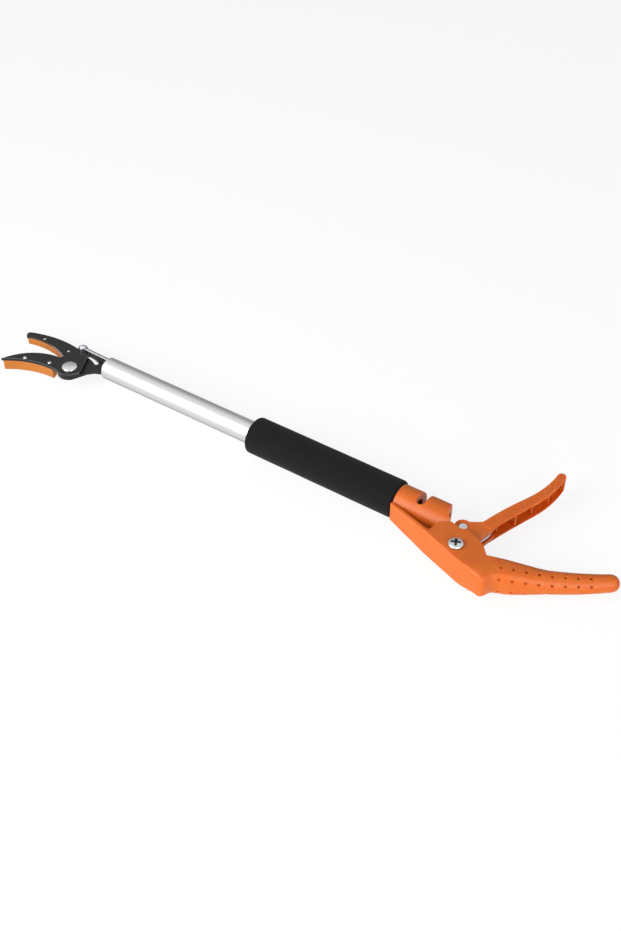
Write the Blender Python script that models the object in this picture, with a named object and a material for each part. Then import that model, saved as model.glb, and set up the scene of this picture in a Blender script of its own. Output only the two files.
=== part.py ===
"""A long-reach pruner that cuts a stem and holds it, built piece by piece.

The tube lies along X, with the jaws at -X and the handles at +X. The jaws and
the handles swing in the XY plane. The tool lies on its side, so +Z is up.
Every length is in metres, written as millimetres times MM.
"""
import math

import bmesh
import bpy
from mathutils import Matrix, Vector

MM = 0.001
DEG = math.pi / 180.0

# Clearances
SEAT_GAP = 0.3 * MM
RUNNING_GAP = 0.3 * MM
CUT_MARGIN = 2.0 * MM

# Tube and foam grip
TUBE_RADIUS = 11.0 * MM
TUBE_WALL = 1.0 * MM
TUBE_REAR_X = 104.5 * MM
TUBE_LENGTH = 350.5 * MM
TUBE_LIP = 0.8 * MM
GRIP_LENGTH = 156.5 * MM
GRIP_RADIUS = 17.9 * MM
GRIP_EDGE = 2.0 * MM
SOCKET_DEPTH = 14.6 * MM

# Linkage: two equal arms that stay parallel, joined by the pull rod
HEAD_REACH = 29.2 * MM
HEAD_DROP = 23.6 * MM
LEVER_PIVOT_REACH = 58.2 * MM
LEVER_PIVOT_DROP = 32.0 * MM
ARM = 30.4 * MM
ARM_ANGLE = 106.3 * DEG
SQUEEZE = 35.0 * DEG

# Jaw plates, points given as distance in front of and above the head pivot
PLATE = 3.0 * MM
BOSS_RADIUS = 12.5 * MM
NECK_HALF = 9.0 * MM
NECK_BEND = ((-16.2 * MM, 6.1 * MM), (-21.2 * MM, 11.6 * MM))
TANG_HALF = 7.0 * MM
TANG_LENGTH = 20.0 * MM
EDGE_GRIND = 1.3 * MM
FIXED_EDGE_TIP = (75.2 * MM, 17.5 * MM)
FIXED_EDGE_HEEL = (15.8 * MM, 9.8 * MM)
FIXED_EDGE_SAG = 6.2 * MM
FIXED_TIP = (77.8 * MM, 21.2 * MM)
FIXED_BACK_TIP = (76.6 * MM, 24.2 * MM)
FIXED_BACK_HEEL = (16.8 * MM, 30.5 * MM)
FIXED_BACK_SAG = 4.2 * MM
FIXED_SHOULDER = ((0.0, 33.8 * MM), (-19.2 * MM, 33.6 * MM))
MOVING_EDGE_TIP = (66.6 * MM, -25.6 * MM)
MOVING_EDGE_HEEL = (18.9 * MM, 7.9 * MM)
MOVING_EDGE_SAG = 8.6 * MM
MOVING_TIP = (66.6 * MM, -26.9 * MM)
MOVING_BACK_TIP = (65.2 * MM, -26.6 * MM)
MOVING_BACK_HEEL = (8.8 * MM, -10.2 * MM)
MOVING_BACK_SAG = 5.3 * MM
MOVING_TAIL = ((-13.6 * MM, -2.0 * MM), (-12.9 * MM, 1.5 * MM), (-0.5 * MM, 28.6 * MM))
MOVING_EYE_RADIUS = 6.0 * MM
MOVING_SHOULDER = (16.3 * MM, 15.1 * MM)
STOP_SLOT_RADIUS = 27.0 * MM
STOP_SLOT_HALF = 2.3 * MM
STOP_SLOT_START = 57.6 * DEG

# Grip pads under the jaws
PAD_BOTTOM = -10.8 * MM
PAD_EDGE = 0.8 * MM
PAD_INSET = 0.4 * MM
PAD_TIP_INSET = 1.6 * MM
PAD_BACK_ANGLE = 1.0 * DEG
PAD_HEEL = (14.4 * MM, -10.0 * MM)
PAD_HEEL_INNER = (16.0 * MM, -3.0 * MM)
FIXED_RIVETS = ((57.0 * MM, 24.5 * MM), (23.0 * MM, 22.7 * MM))
MOVING_RIVETS = ((46.9 * MM, -13.6 * MM), (21.2 * MM, -6.0 * MM))

# Rod, rivets, bolts and pins
ROD_RADIUS = 1.8 * MM
ROD_EYE_THICK = 2.6 * MM
ROD_EYE_RADIUS = 4.4 * MM
EYE_RIVET_RADIUS = 1.9 * MM
EYE_RIVET_HEAD = 3.2 * MM
EYE_RIVET_CROWN = 1.6 * MM
REAR_EYE_RADIUS = 6.6 * MM
REAR_EYE_THICK = 4.6 * MM
ROD_SLEEVE_RADIUS = 2.8 * MM
ROD_SLEEVE_LENGTH = 9.0 * MM
ROD_SLEEVE_SUNK = 1.5 * MM
ROD_BORE_REST = 0.8 * MM
PAD_RIVET_RADIUS = 1.2 * MM
PAD_RIVET_HEAD = 1.9 * MM
PAD_RIVET_CROWN = 0.7 * MM
RIVET_SINK = 0.8 * MM
BOLT_END = 0.3 * MM
JAW_BOLT_RADIUS = 3.6 * MM
JAW_BOLT_HEAD = 7.6 * MM
JAW_BOLT_CROWN = 2.6 * MM
JAW_NUT_FLATS = 11.0 * MM
JAW_NUT_HEIGHT = 4.4 * MM
LEVER_BOLT_RADIUS = 3.0 * MM
LEVER_BOLT_HEAD = 6.5 * MM
LEVER_BOLT_CROWN = 3.4 * MM
LEVER_NUT_FLATS = 10.0 * MM
LEVER_NUT_HEIGHT = 3.8 * MM
NUT_CHAMFER = 0.4 * MM
BUSH_WALL = 0.9 * MM
LEVER_PIN_RADIUS = 4.3 * MM
LEVER_PIN_SINK = 1.0 * MM
LEVER_PIN_CHAMFER = 0.5 * MM
NECK_PIN_RADIUS = 1.7 * MM
NECK_PIN_HEAD = 3.2 * MM
NECK_PIN_CROWN = 1.2 * MM
NECK_PIN_INSET = 11.0 * MM
NECK_PIN_LENGTH = 12.4 * MM
SOCKET_SCREW_RADIUS = 1.6 * MM
SOCKET_SCREW_HEAD = 2.9 * MM
SOCKET_SCREW_CROWN = 1.4 * MM
SOCKET_SCREW_POINT = 1.2 * MM
SOCKET_SCREW_INSETS = (4.4 * MM, 11.0 * MM)
PLUG_INSET = 1.5 * MM
PLUG_LENGTH = 23.0 * MM
PLUG_CHANNEL_LOW = 2.0 * MM
PLUG_CHANNEL_SIDE = 0.4 * MM

# Handle moulding
SOCKET_RADIUS = 15.5 * MM
SOCKET_LIP = 1.0 * MM
SOCKET_LENGTH = 57.1 * MM
SOCKET_TOP_LENGTH = 43.4 * MM
SOCKET_NOSE_LENGTH = 49.8 * MM
SOCKET_NOSE_Y = -3.3 * MM
SOCKET_SHELF_LENGTH = 54.6 * MM
SOCKET_SHELF_Y = -9.0 * MM
ROD_PASSAGE_RADIUS = 8.8 * MM
BODY_HALF = 13.4 * MM
BODY_EDGE = 1.2 * MM
BODY_SETBACK = 0.4 * MM
BELLY_ANGLE = -19.3 * DEG
BELLY_START_Y = -16.8 * MM
BELLY_WALL = 2.8 * MM
BELLY_FRONT_HALF = 9.4 * MM
BELLY_TAPER_LENGTH = 43.6 * MM
POCKET_LENGTH = 47.0 * MM
POCKET_WEB = 3.0 * MM
HEEL_LENGTH = 119.5 * MM
HEEL_NOSE = 9.5 * MM
HEEL_SPAN = 16.0 * MM
HEEL_RADIUS = 4.0 * MM
HEEL_CORNER = (40.6 * MM, -13.6 * MM)
HEEL_CORNER_RADIUS = 4.0 * MM
HANDLE_CORNER = (43.0 * MM, -5.0 * MM)
HANDLE_SHOULDER = (42.0 * MM, 7.0 * MM)
CREST = (27.0 * MM, 3.9 * MM)
CHEEK_BACK = (19.0 * MM, 12.8 * MM)
CHEEK_BACK_RADIUS = 8.0 * MM
CHEEK_RADIUS = 20.3 * MM
CHEEK_FROM = 62.0 * DEG
CHEEK_TO = 108.0 * DEG
CHEEK_SHOULDER = (-16.3 * MM, 22.1 * MM)
CHEEK_SHOULDER_RADIUS = 1.5 * MM
CHEEK_FRONT = (-25.2 * MM, 16.2 * MM)
CHEEK_FRONT_RADIUS = 1.0 * MM
CLEVIS_GAP_HALF = 7.9 * MM
CLEVIS_CLEARANCE = 1.0 * MM
CLEVIS_REACH = 31.0 * MM
HUB_RADIUS = 6.5 * MM
HUB_CLEARANCE = 0.5 * MM
NOTCH_WIDTH = 8.6 * MM
NOTCH_INSET = 22.9 * MM
NOTCH_BOTTOM_Y = -7.5 * MM

# Lower handle
HANDLE_START = (31.6 * MM, -2.8 * MM)
HANDLE_HEADING = 18.0 * DEG
HANDLE_BEND_RADIUS = 290.0 * MM
HANDLE_LENGTH = 109.0 * MM
HANDLE_ROOT_RADIUS = 12.0 * MM
HANDLE_END_RADIUS = 7.2 * MM
HANDLE_ROOT_SETBACK = 0.15 * MM
HANDLE_ROOT_LENGTH = 12.0 * MM
HANDLE_SUNK = 10.0 * MM
HANDLE_BLEND = 34.0 * MM
HANDLE_SQUARENESS = 4.0
DIMPLE_RADIUS = 1.4 * MM
DIMPLE_DEPTH = 1.1 * MM
DIMPLE_START = 11.2 * MM
DIMPLE_PITCH = 10.4 * MM
DIMPLE_COUNT = 8
DIMPLE_ANGLES = (13.0 * DEG, 60.0 * DEG)

# Squeeze lever, points given from the lever's pivot
LEVER_START = (8.1 * MM, 37.9 * MM)
LEVER_HEADING = 73.5 * DEG
LEVER_ROOT_LENGTH = 52.0 * MM
LEVER_ROOT_BEND_RADIUS = 480.0 * MM
LEVER_TIP_LENGTH = 50.0 * MM
LEVER_TIP_BEND_RADIUS = 108.0 * MM
LEVER_DEPTH = 11.4 * MM
LEVER_TIP_DEPTH = 7.8 * MM
LEVER_TAPER_START = 30.0 * MM
LEVER_HALF = 8.4 * MM
LEVER_EDGE = 1.2 * MM
LEVER_WALL = 2.0 * MM
LEVER_CHANNEL_START = 3.0 * MM
LEVER_RIB = 1.6 * MM
LEVER_RIB_SUNK = 1.0 * MM
LEVER_RIB_PLACES = (11.5 * MM, 31.0 * MM, 52.5 * MM, 73.0 * MM)
LEVER_RIB_DROPS = (3.6 * MM, 0.8 * MM, 3.0 * MM, 2.6 * MM)
TONGUE_HALF = 7.6 * MM
TONGUE_EDGE = 0.5 * MM
TONGUE_REACH = 8.0 * MM
TONGUE_INSET = 0.6 * MM
TONGUE_TOP = (-3.0 * MM, 38.1 * MM)
TONGUE_BACK = (11.5 * MM, 24.5 * MM)
FORK_HALF = 3.2 * MM
FORK_MOUTH = 9.0 * MM
FORK_FLOOR = 2.0 * MM
FORK_BACK = (15.5 * MM, 18.7 * MM)
FORK_FRONT = (1.5 * MM, 38.6 * MM)
EAR_RADIUS = 7.2 * MM

# Return spring
SPRING_WIRE = 0.6 * MM
SPRING_COIL_GAP = 0.42 * MM
SPRING_TURNS = 2.5
SPRING_POINTS_PER_TURN = 10
SPRING_LEG = 36.0 * MM
SPRING_LEG_HEADING = 80.0 * DEG
SPRING_TIP = 12.0 * MM
SPRING_TIP_BEND = 20.0 * DEG

# Colours, linear red, green and blue
ORANGE = (0.72, 0.16, 0.03, 1.0)
PAD_ORANGE = (0.80, 0.26, 0.07, 1.0)
BLACK_FOAM = (0.02, 0.02, 0.02, 1.0)
BLACK_STEEL = (0.022, 0.022, 0.025, 1.0)
SILVER = (0.75, 0.75, 0.77, 1.0)
ZINC = (0.62, 0.63, 0.65, 1.0)
BLACK_NYLON = (0.03, 0.03, 0.03, 1.0)


def heading(angle, length=1.0):
    """A flat vector of one length at an angle from +X."""
    return Vector((math.cos(angle), math.sin(angle))) * length


def arc(centre, radius, start, end, steps):
    """Points along a flat arc, both ends among them."""
    turn = (end - start) / steps
    return [Vector(centre[:2]) + heading(start + turn * i, radius) for i in range(steps + 1)]


def circle(centre, radius, sides):
    """Points round a flat circle, counter-clockwise."""
    return arc(centre, radius, 0.0, 2 * math.pi, sides)[:-1]


def rounded(corners, steps=4):
    """An outline whose corners (x, y, radius) are replaced by arcs of that radius."""
    outline = []
    count = len(corners)
    for index, (x, y, radius) in enumerate(corners):
        here = Vector((x, y))
        if radius == 0.0:
            outline.append(here)
            continue
        back = (Vector(corners[index - 1][:2]) - here).normalized()
        ahead = (Vector(corners[(index + 1) % count][:2]) - here).normalized()
        half = back.angle(ahead) / 2
        centre = here + (back + ahead).normalized() * (radius / math.sin(half))
        first = here + back * (radius / math.tan(half)) - centre
        last = here + ahead * (radius / math.tan(half)) - centre
        start = math.atan2(first.y, first.x)
        sweep = math.atan2(first.x * last.y - first.y * last.x, first.dot(last))
        outline += arc(centre, radius, start, start + sweep, steps)
    return outline


def turned_about(points, centre, angle):
    """Flat points swung about a centre."""
    spin = Matrix.Rotation(angle, 2)
    pivot = Vector(centre[:2])
    return [pivot + spin @ (point - pivot) for point in points]


def prism(outline, low, high, top_outline=None):
    """A closed solid between an outline at one height and the same or another at a second."""
    mesh = bmesh.new()
    above = top_outline or outline
    lower = [mesh.verts.new((p.x, p.y, low)) for p in outline]
    upper = [mesh.verts.new((p.x, p.y, high)) for p in above]
    mesh.faces.new(list(reversed(lower)))
    mesh.faces.new(upper)
    for i in range(len(outline)):
        j = (i + 1) % len(outline)
        mesh.faces.new((lower[i], lower[j], upper[j], upper[i]))
    bmesh.ops.recalc_face_normals(mesh, faces=mesh.faces)
    return mesh


def upright(mesh):
    """Turn a mesh whose flat outline was drawn in XY so that it lies in XZ."""
    bmesh.ops.rotate(mesh, verts=mesh.verts, matrix=Matrix.Rotation(math.pi / 2, 3, "X"))
    return mesh


def lathe(profile, sides, centre=(0.0, 0.0, 0.0), along="Z", ring=False):
    """Revolve a profile of (distance along, radius); a ring profile closes on itself."""
    mesh = bmesh.new()
    loops = []
    for along_axis, radius in profile:
        if radius == 0.0:
            loops.append([mesh.verts.new((0.0, 0.0, along_axis))])
            continue
        spots = circle((0.0, 0.0), radius, sides)
        loops.append([mesh.verts.new((p.x, p.y, along_axis)) for p in spots])
    pairs = list(zip(loops, loops[1:]))
    if ring:
        pairs.append((loops[-1], loops[0]))
    for first, second in pairs:
        for i in range(sides):
            j = (i + 1) % sides
            corners = [first[i % len(first)], first[j % len(first)]]
            corners += [second[j % len(second)], second[i % len(second)]]
            mesh.faces.new(list(dict.fromkeys(corners)))
    bmesh.ops.recalc_face_normals(mesh, faces=mesh.faces)
    if along == "X":
        bmesh.ops.rotate(mesh, verts=mesh.verts, matrix=Matrix.Rotation(math.pi / 2, 3, "Y"))
    bmesh.ops.translate(mesh, verts=mesh.verts, vec=Vector(centre))
    return mesh


def rod_between(start, end, radius, sides, bore=0.0, depth=0.0):
    """A straight round bar from one point to another, with a blind bore in its first end."""
    length = (end - start).length
    mouth = [(depth, 0.0), (depth, bore), (0.0, bore)] if bore else [(0.0, 0.0)]
    mesh = lathe(mouth + [(0.0, radius), (length, radius), (length, 0.0)], sides)
    lean = (end - start).to_track_quat("Z", "Y").to_matrix()
    bmesh.ops.rotate(mesh, verts=mesh.verts, matrix=lean)
    bmesh.ops.translate(mesh, verts=mesh.verts, vec=start)
    return mesh


def finish(name, colour, roughness, metallic):
    """A plain material for one kind of surface."""
    material = bpy.data.materials.new(name)
    material.use_nodes = True
    shader = material.node_tree.nodes["Principled BSDF"]
    shader.inputs["Base Color"].default_value = colour
    shader.inputs["Roughness"].default_value = roughness
    shader.inputs["Metallic"].default_value = metallic
    return material


def add_object(name, mesh, parent, look=None):
    """Put a mesh, drawn in the tool's frame, into the scene under its parent axis."""
    data = bpy.data.meshes.new(name)
    mesh.to_mesh(data)
    mesh.free()
    data.shade_smooth()
    data.set_sharp_from_angle(angle=32 * DEG)
    item = bpy.data.objects.new(name, data)
    bpy.context.collection.objects.link(item)
    item.parent = parent
    item.location = -axis_place(parent)
    if look:
        data.materials.append(look)
    return item


def axis_place(axis):
    """Where an axis empty stands in the tool's frame."""
    place = Vector((0.0, 0.0, 0.0))
    while axis and axis.parent:
        place += axis.location
        axis = axis.parent
    return place


def add_axis(name, place, parent):
    """An empty that stands on a joint's axis."""
    axis = bpy.data.objects.new(name, None)
    axis.empty_display_size = 10 * MM
    bpy.context.collection.objects.link(axis)
    axis.parent = parent
    axis.location = Vector(place) - axis_place(parent)
    return axis


def soften(item, width, segments=2, angle=50 * DEG):
    """Round the sharp edges of a moulded or stamped shape."""
    bevel = item.modifiers.new("rounded edges", "BEVEL")
    bevel.width = width
    bevel.segments = segments
    bevel.limit_method = "ANGLE"
    bevel.angle_limit = angle


def as_tool(name, mesh, parent):
    """A hidden shape that only cuts or adds to another."""
    item = add_object(name, mesh, parent)
    item.hide_render = True
    item.display_type = "WIRE"
    return item


def combine(item, tool, operation):
    """Cut a hidden shape out of a piece, or join it on."""
    step = item.modifiers.new(tool.name, "BOOLEAN")
    step.operation = operation
    step.object = tool
    step.solver = "EXACT"


def cut(item, name, mesh):
    """Cut one shape out of a piece."""
    combine(item, as_tool(name, mesh, item.parent), "DIFFERENCE")


def join(item, name, mesh):
    """Join one shape to a piece and give it back for further work."""
    tool = as_tool(name, mesh, item.parent)
    combine(item, tool, "UNION")
    return tool


def drill(item, name, centre, radius, low, high, sides=20):
    """Drill a round hole straight down through a piece."""
    cut(item, name, prism(circle(centre, radius, sides), low, high))


def flat(vector):
    """The X and Y of a point."""
    return Vector((vector[0], vector[1]))


# Heights of the stacked jaw plates
FIXED_TOP = -SEAT_GAP / 2
FIXED_LOW = FIXED_TOP - PLATE
MOVING_LOW = SEAT_GAP / 2
MOVING_TOP = MOVING_LOW + PLATE
EYE_LOW = MOVING_TOP + SEAT_GAP
EYE_HIGH = EYE_LOW + ROD_EYE_THICK

# Places that follow from the driving sizes
TUBE_FRONT_X = TUBE_REAR_X - TUBE_LENGTH
TUBE_BORE = TUBE_RADIUS - TUBE_WALL
SOCKET_FRONT_X = TUBE_REAR_X - SOCKET_DEPTH
GRIP_REAR_X = SOCKET_FRONT_X - SEAT_GAP
LEVER_PIVOT = Vector((TUBE_REAR_X + LEVER_PIVOT_REACH, -LEVER_PIVOT_DROP, 0.0))
JAW_PIVOT = Vector((TUBE_FRONT_X - HEAD_REACH, -HEAD_DROP, 0.0))
NECK_PIN_X = TUBE_FRONT_X + NECK_PIN_INSET
BUSH_BORE = LEVER_BOLT_RADIUS + RUNNING_GAP
BUSH_RADIUS = BUSH_BORE + BUSH_WALL
CLEVIS_WALL_LOW = -BODY_HALF - SEAT_GAP
CLEVIS_WALL_HIGH = BODY_HALF + SEAT_GAP
JAW_EYE = flat(JAW_PIVOT) + heading(ARM_ANGLE, ARM)
LEVER_EYE = flat(LEVER_PIVOT) + heading(ARM_ANGLE, ARM)


def from_jaw(place):
    """A point in front of and above the head pivot."""
    return flat(JAW_PIVOT) + Vector((-place[0], place[1]))


def from_lever(place):
    """A point behind and above the lever's pivot."""
    return flat(LEVER_PIVOT) + Vector(place)


def bow(start, end, sag, steps=10):
    """Points along the arc between two points that stands off their line to the left by a sag."""
    half = (end - start) / 2
    left = Vector((-half.y, half.x)).normalized()
    radius = (half.length_squared + sag * sag) / (2 * abs(sag))
    side = math.copysign(1.0, sag)
    centre = (start + end) / 2 - left * side * (radius - abs(sag))
    first = start - centre
    last = end - centre
    turn = math.atan2(first.x * last.y - first.y * last.x, first.dot(last))
    begin = math.atan2(first.y, first.x)
    return arc(centre, radius, begin, begin + turn, steps)


def fixed_cutting_edge():
    """The hollow inner edge of the fixed jaw, from its tip to its heel."""
    return bow(from_jaw(FIXED_EDGE_TIP), from_jaw(FIXED_EDGE_HEEL), FIXED_EDGE_SAG)


def moving_cutting_edge():
    """The full inner edge of the moving jaw, from its heel to its tip."""
    return bow(from_jaw(MOVING_EDGE_HEEL), from_jaw(MOVING_EDGE_TIP), -MOVING_EDGE_SAG)


def ground(edge, keep_first, away):
    """An edge set back by the width of its ground bevel."""
    set_back = []
    for index, point in enumerate(edge):
        before = edge[max(index - 1, 0)]
        after = edge[min(index + 1, len(edge) - 1)]
        run = (after - before).normalized()
        side = Vector((-run.y, run.x)) * away
        skip = index == 0 and keep_first
        set_back.append(point if skip else point + side * EDGE_GRIND)
    return set_back


def build_tube(root, looks):
    """The drawn tube, its foam grip and the plug that holds the jaw plate."""
    lip = TUBE_LIP
    profile = [(TUBE_FRONT_X, TUBE_BORE), (TUBE_FRONT_X, TUBE_RADIUS - lip),
               (TUBE_FRONT_X + 0.3 * lip, TUBE_RADIUS - 0.3 * lip),
               (TUBE_FRONT_X + lip, TUBE_RADIUS), (TUBE_REAR_X, TUBE_RADIUS),
               (TUBE_REAR_X, TUBE_BORE)]
    tube = add_object("tube", lathe(profile, 36, along="X", ring=True), root, looks["tube"])
    drill(tube, "tube_pin_hole", (NECK_PIN_X, 0.0), NECK_PIN_RADIUS + RUNNING_GAP,
          -TUBE_RADIUS - CUT_MARGIN, -TUBE_BORE + CUT_MARGIN)
    for number, inset in enumerate(SOCKET_SCREW_INSETS):
        spot = (SOCKET_FRONT_X + inset, 0.0)
        drill(tube, f"tube_screw_hole_{number}", spot, SOCKET_SCREW_RADIUS + RUNNING_GAP,
              -TUBE_RADIUS - CUT_MARGIN, -TUBE_BORE + CUT_MARGIN)

    bore = TUBE_RADIUS + SEAT_GAP
    front = GRIP_REAR_X - GRIP_LENGTH
    edge = GRIP_EDGE
    shoulder = GRIP_RADIUS - edge
    profile = [(front, bore)]
    profile += [(front + edge - p.x, shoulder + p.y) for p in arc((0, 0), edge, 0, math.pi / 2, 3)]
    profile += [(GRIP_REAR_X - edge + p.x, shoulder + p.y)
                for p in arc((0, 0), edge, math.pi / 2, 0, 3)]
    profile += [(GRIP_REAR_X, bore)]
    add_object("foam_grip", lathe(profile, 36, along="X", ring=True), root, looks["foam"])

    start = TUBE_FRONT_X + PLUG_INSET
    radius = TUBE_BORE - SEAT_GAP
    profile = [(start, 0.0), (start, radius), (start + PLUG_LENGTH, radius)]
    profile += [(start + PLUG_LENGTH, 0.0)]
    plug = add_object("tube_plug", lathe(profile, 28, along="X"), root, looks["nylon"])
    reach = (start - CUT_MARGIN, TUBE_FRONT_X + TANG_LENGTH + SEAT_GAP)
    half = TANG_HALF + SEAT_GAP
    slot = box_outline(reach[0], reach[1], -half, half)
    cut(plug, "plug_tang_slot", prism(slot, FIXED_LOW - SEAT_GAP, FIXED_TOP + SEAT_GAP))
    channel = box_outline(start - CUT_MARGIN, start + PLUG_LENGTH + CUT_MARGIN,
                          PLUG_CHANNEL_SIDE, radius * 2)
    cut(plug, "plug_rod_channel", prism(channel, PLUG_CHANNEL_LOW, TUBE_RADIUS))
    pin_top = NECK_PIN_LENGTH - TUBE_RADIUS + SEAT_GAP
    drill(plug, "plug_pin_hole", (NECK_PIN_X, 0.0), NECK_PIN_RADIUS + RUNNING_GAP,
          -TUBE_RADIUS, pin_top)


def box_outline(x0, x1, y0, y1):
    """A flat rectangle, counter-clockwise."""
    return [Vector((x0, y0)), Vector((x1, y0)), Vector((x1, y1)), Vector((x0, y1))]


def notch_shape():
    """The round-ended slot cut across the socket, behind the end of the tube."""
    half = NOTCH_WIDTH / 2
    reach = SOCKET_RADIUS + CUT_MARGIN
    end = Vector((SOCKET_FRONT_X + NOTCH_INSET, NOTCH_BOTTOM_Y + half))
    bottom = arc(end, half, math.pi, 2 * math.pi, 10)
    mouth = [Vector((end.x + half, reach)), Vector((end.x - half, reach))]
    return prism(bottom + mouth, -reach, reach)


def belly_point(distance, inset=0.0):
    """A point along the flat belly of the handle, or inset from it."""
    start = Vector((SOCKET_FRONT_X, BELLY_START_Y))
    across = heading(BELLY_ANGLE + math.pi / 2, inset)
    return start + heading(BELLY_ANGLE, distance) + across


def body_outline():
    """The flat outline of the belly wall, the clevis cheeks and the heel."""
    heel = belly_point(HEEL_LENGTH)
    front_x = SOCKET_FRONT_X + BODY_SETBACK
    inner_front = belly_point(0.0, BELLY_WALL)
    pocket = belly_point(POCKET_LENGTH, BELLY_WALL)
    corner = from_lever(HEEL_CORNER)
    back = from_lever(HANDLE_CORNER)
    saddle = from_lever(HANDLE_SHOULDER)
    crest = from_lever(CREST)
    behind = from_lever(CHEEK_BACK)
    shoulder = from_lever(CHEEK_SHOULDER)
    front = from_lever(CHEEK_FRONT)
    corners = [(front_x, BELLY_START_Y, 0.0), (heel.x, heel.y, HEEL_RADIUS)]
    corners += [(corner.x, corner.y, HEEL_CORNER_RADIUS), (back.x, back.y, 0.0)]
    corners += [(saddle.x, saddle.y, 0.0), (crest.x, crest.y, 0.0)]
    corners += [(behind.x, behind.y, CHEEK_BACK_RADIUS)]
    corners += [(p.x, p.y, 0.0) for p in arc(LEVER_PIVOT, CHEEK_RADIUS, CHEEK_FROM, CHEEK_TO, 8)]
    corners += [(shoulder.x, shoulder.y, CHEEK_SHOULDER_RADIUS)]
    corners += [(front.x, front.y, CHEEK_FRONT_RADIUS)]
    corners += [(pocket.x, pocket.y, CHEEK_FRONT_RADIUS), (front_x, inner_front.y, 0.0)]
    return rounded(corners)


def clevis_outline():
    """The flat outline of the space between the clevis cheeks, where the lever swings."""
    pivot = flat(LEVER_PIVOT)
    hub = HUB_RADIUS + HUB_CLEARANCE
    ear_sweep = ARM + EAR_RADIUS + CLEVIS_CLEARANCE
    points = arc(pivot, hub, 212 * DEG, 300 * DEG, 6)
    points += arc(pivot, CLEVIS_REACH, 10 * DEG, 52 * DEG, 5)
    points += arc(pivot, ear_sweep, 56 * DEG, 127 * DEG, 8)
    return points


def sweep(stations, sides):
    """A closed body through rings of (centre, heading, half width, half height, squareness)."""
    mesh = bmesh.new()
    rings = []
    for centre, angle, width, height, squareness in stations:
        across = heading(angle + math.pi / 2)
        ring = []
        for i in range(sides):
            turn = 2 * math.pi * i / sides
            offset = across * (width * softened(math.cos(turn), squareness))
            level = height * softened(math.sin(turn), squareness)
            ring.append(mesh.verts.new((centre.x + offset.x, centre.y + offset.y, level)))
        rings.append(ring)
    for first, second in zip(rings, rings[1:]):
        for i in range(sides):
            j = (i + 1) % sides
            mesh.faces.new((first[i], first[j], second[j], second[i]))
    mesh.faces.new(rings[0])
    mesh.faces.new(list(reversed(rings[-1])))
    bmesh.ops.recalc_face_normals(mesh, faces=mesh.faces)
    return mesh


def softened(share, squareness):
    """A sine or cosine for a ring between a circle, at 2, and a rounded square above it."""
    return math.copysign(abs(share) ** (2 / squareness), share)


def handle_spine(distance):
    """The centre and the heading of the lower handle at a distance along it."""
    return bend(from_lever(HANDLE_START), HANDLE_HEADING, HANDLE_BEND_RADIUS, distance)


def handle_radius(distance):
    """The half thickness of the lower handle at a distance along it."""
    share = min(max(distance / HANDLE_LENGTH, 0.0), 1.0)
    return HANDLE_ROOT_RADIUS + (HANDLE_END_RADIUS - HANDLE_ROOT_RADIUS) * share


def handle_section(distance):
    """The ring of the lower handle at a distance: square at its root, round further on."""
    centre, angle = handle_spine(distance)
    radius = handle_radius(distance)
    root = 1.0 - min(max((distance - HANDLE_ROOT_LENGTH) / HANDLE_BLEND, 0.0), 1.0)
    height = radius + (BODY_HALF - HANDLE_ROOT_SETBACK - radius) * root
    return centre, angle, radius, height, 2.0 + (HANDLE_SQUARENESS - 2.0) * root


def lower_handle_shape():
    """The curved, tapering bar of the lower handle with its round end."""
    body_steps = 13
    end_steps = 4
    last = HANDLE_LENGTH - HANDLE_END_RADIUS
    reach = last + HANDLE_SUNK
    stations = [handle_section(reach * i / body_steps - HANDLE_SUNK)
                for i in range(body_steps + 1)]
    for i in range(1, end_steps + 1):
        turn = math.pi / 2 * i / (end_steps + 0.4)
        centre, angle = handle_spine(last + HANDLE_END_RADIUS * math.sin(turn))
        radius = handle_radius(last) * math.cos(turn)
        stations.append((centre, angle, radius, radius, 2.0))
    return sweep(stations, 24)


def dimple_shapes():
    """Rows of shallow dimples along the outer side of the lower handle."""
    mesh = bmesh.new()
    rows = [*DIMPLE_ANGLES, *(math.pi - angle for angle in DIMPLE_ANGLES)]
    for row in rows:
        for number in range(DIMPLE_COUNT):
            place = DIMPLE_START + DIMPLE_PITCH * number
            centre, angle, width, height, square = handle_section(place)
            side = heading(angle - math.pi / 2, math.sin(row))
            normal = Vector((side.x, side.y, math.cos(row)))
            reach = Vector((side.x * width, side.y * width, math.cos(row) * height))
            fullness = abs(math.sin(row)) ** square + abs(math.cos(row)) ** square
            skin = Vector((centre.x, centre.y, 0.0)) + reach / fullness ** (1 / square)
            pit = rod_between(skin - normal * DIMPLE_DEPTH, skin + normal * CUT_MARGIN,
                              DIMPLE_RADIUS, 8)
            spare = bpy.data.meshes.new("dimple")
            pit.to_mesh(spare)
            pit.free()
            mesh.from_mesh(spare)
            bpy.data.meshes.remove(spare)
    return mesh


def heel_nose(side):
    """What is cut from one corner of the heel, seen along its wall, to round its end."""
    centre = Vector((HEEL_LENGTH - HEEL_NOSE, side * (BODY_HALF - HEEL_NOSE)))
    past = HEEL_LENGTH + 2 * CUT_MARGIN
    above = side * (BODY_HALF + CUT_MARGIN)
    outline = arc(centre, HEEL_NOSE, side * math.pi / 2, 0.0, 6)
    outline += [Vector((past, centre.y)), Vector((past, above)), Vector((centre.x, above))]
    mesh = upright(prism(outline, -HEEL_SPAN, CUT_MARGIN))
    return laid_along(mesh, Vector((SOCKET_FRONT_X, BELLY_START_Y)), BELLY_ANGLE)


def laid_along(mesh, place, angle):
    """A cutter drawn along +X, turned to an angle and moved to its place."""
    bmesh.ops.rotate(mesh, verts=mesh.verts, matrix=Matrix.Rotation(angle, 3, "Z"))
    bmesh.ops.translate(mesh, verts=mesh.verts, vec=place.to_3d())
    return mesh


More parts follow.
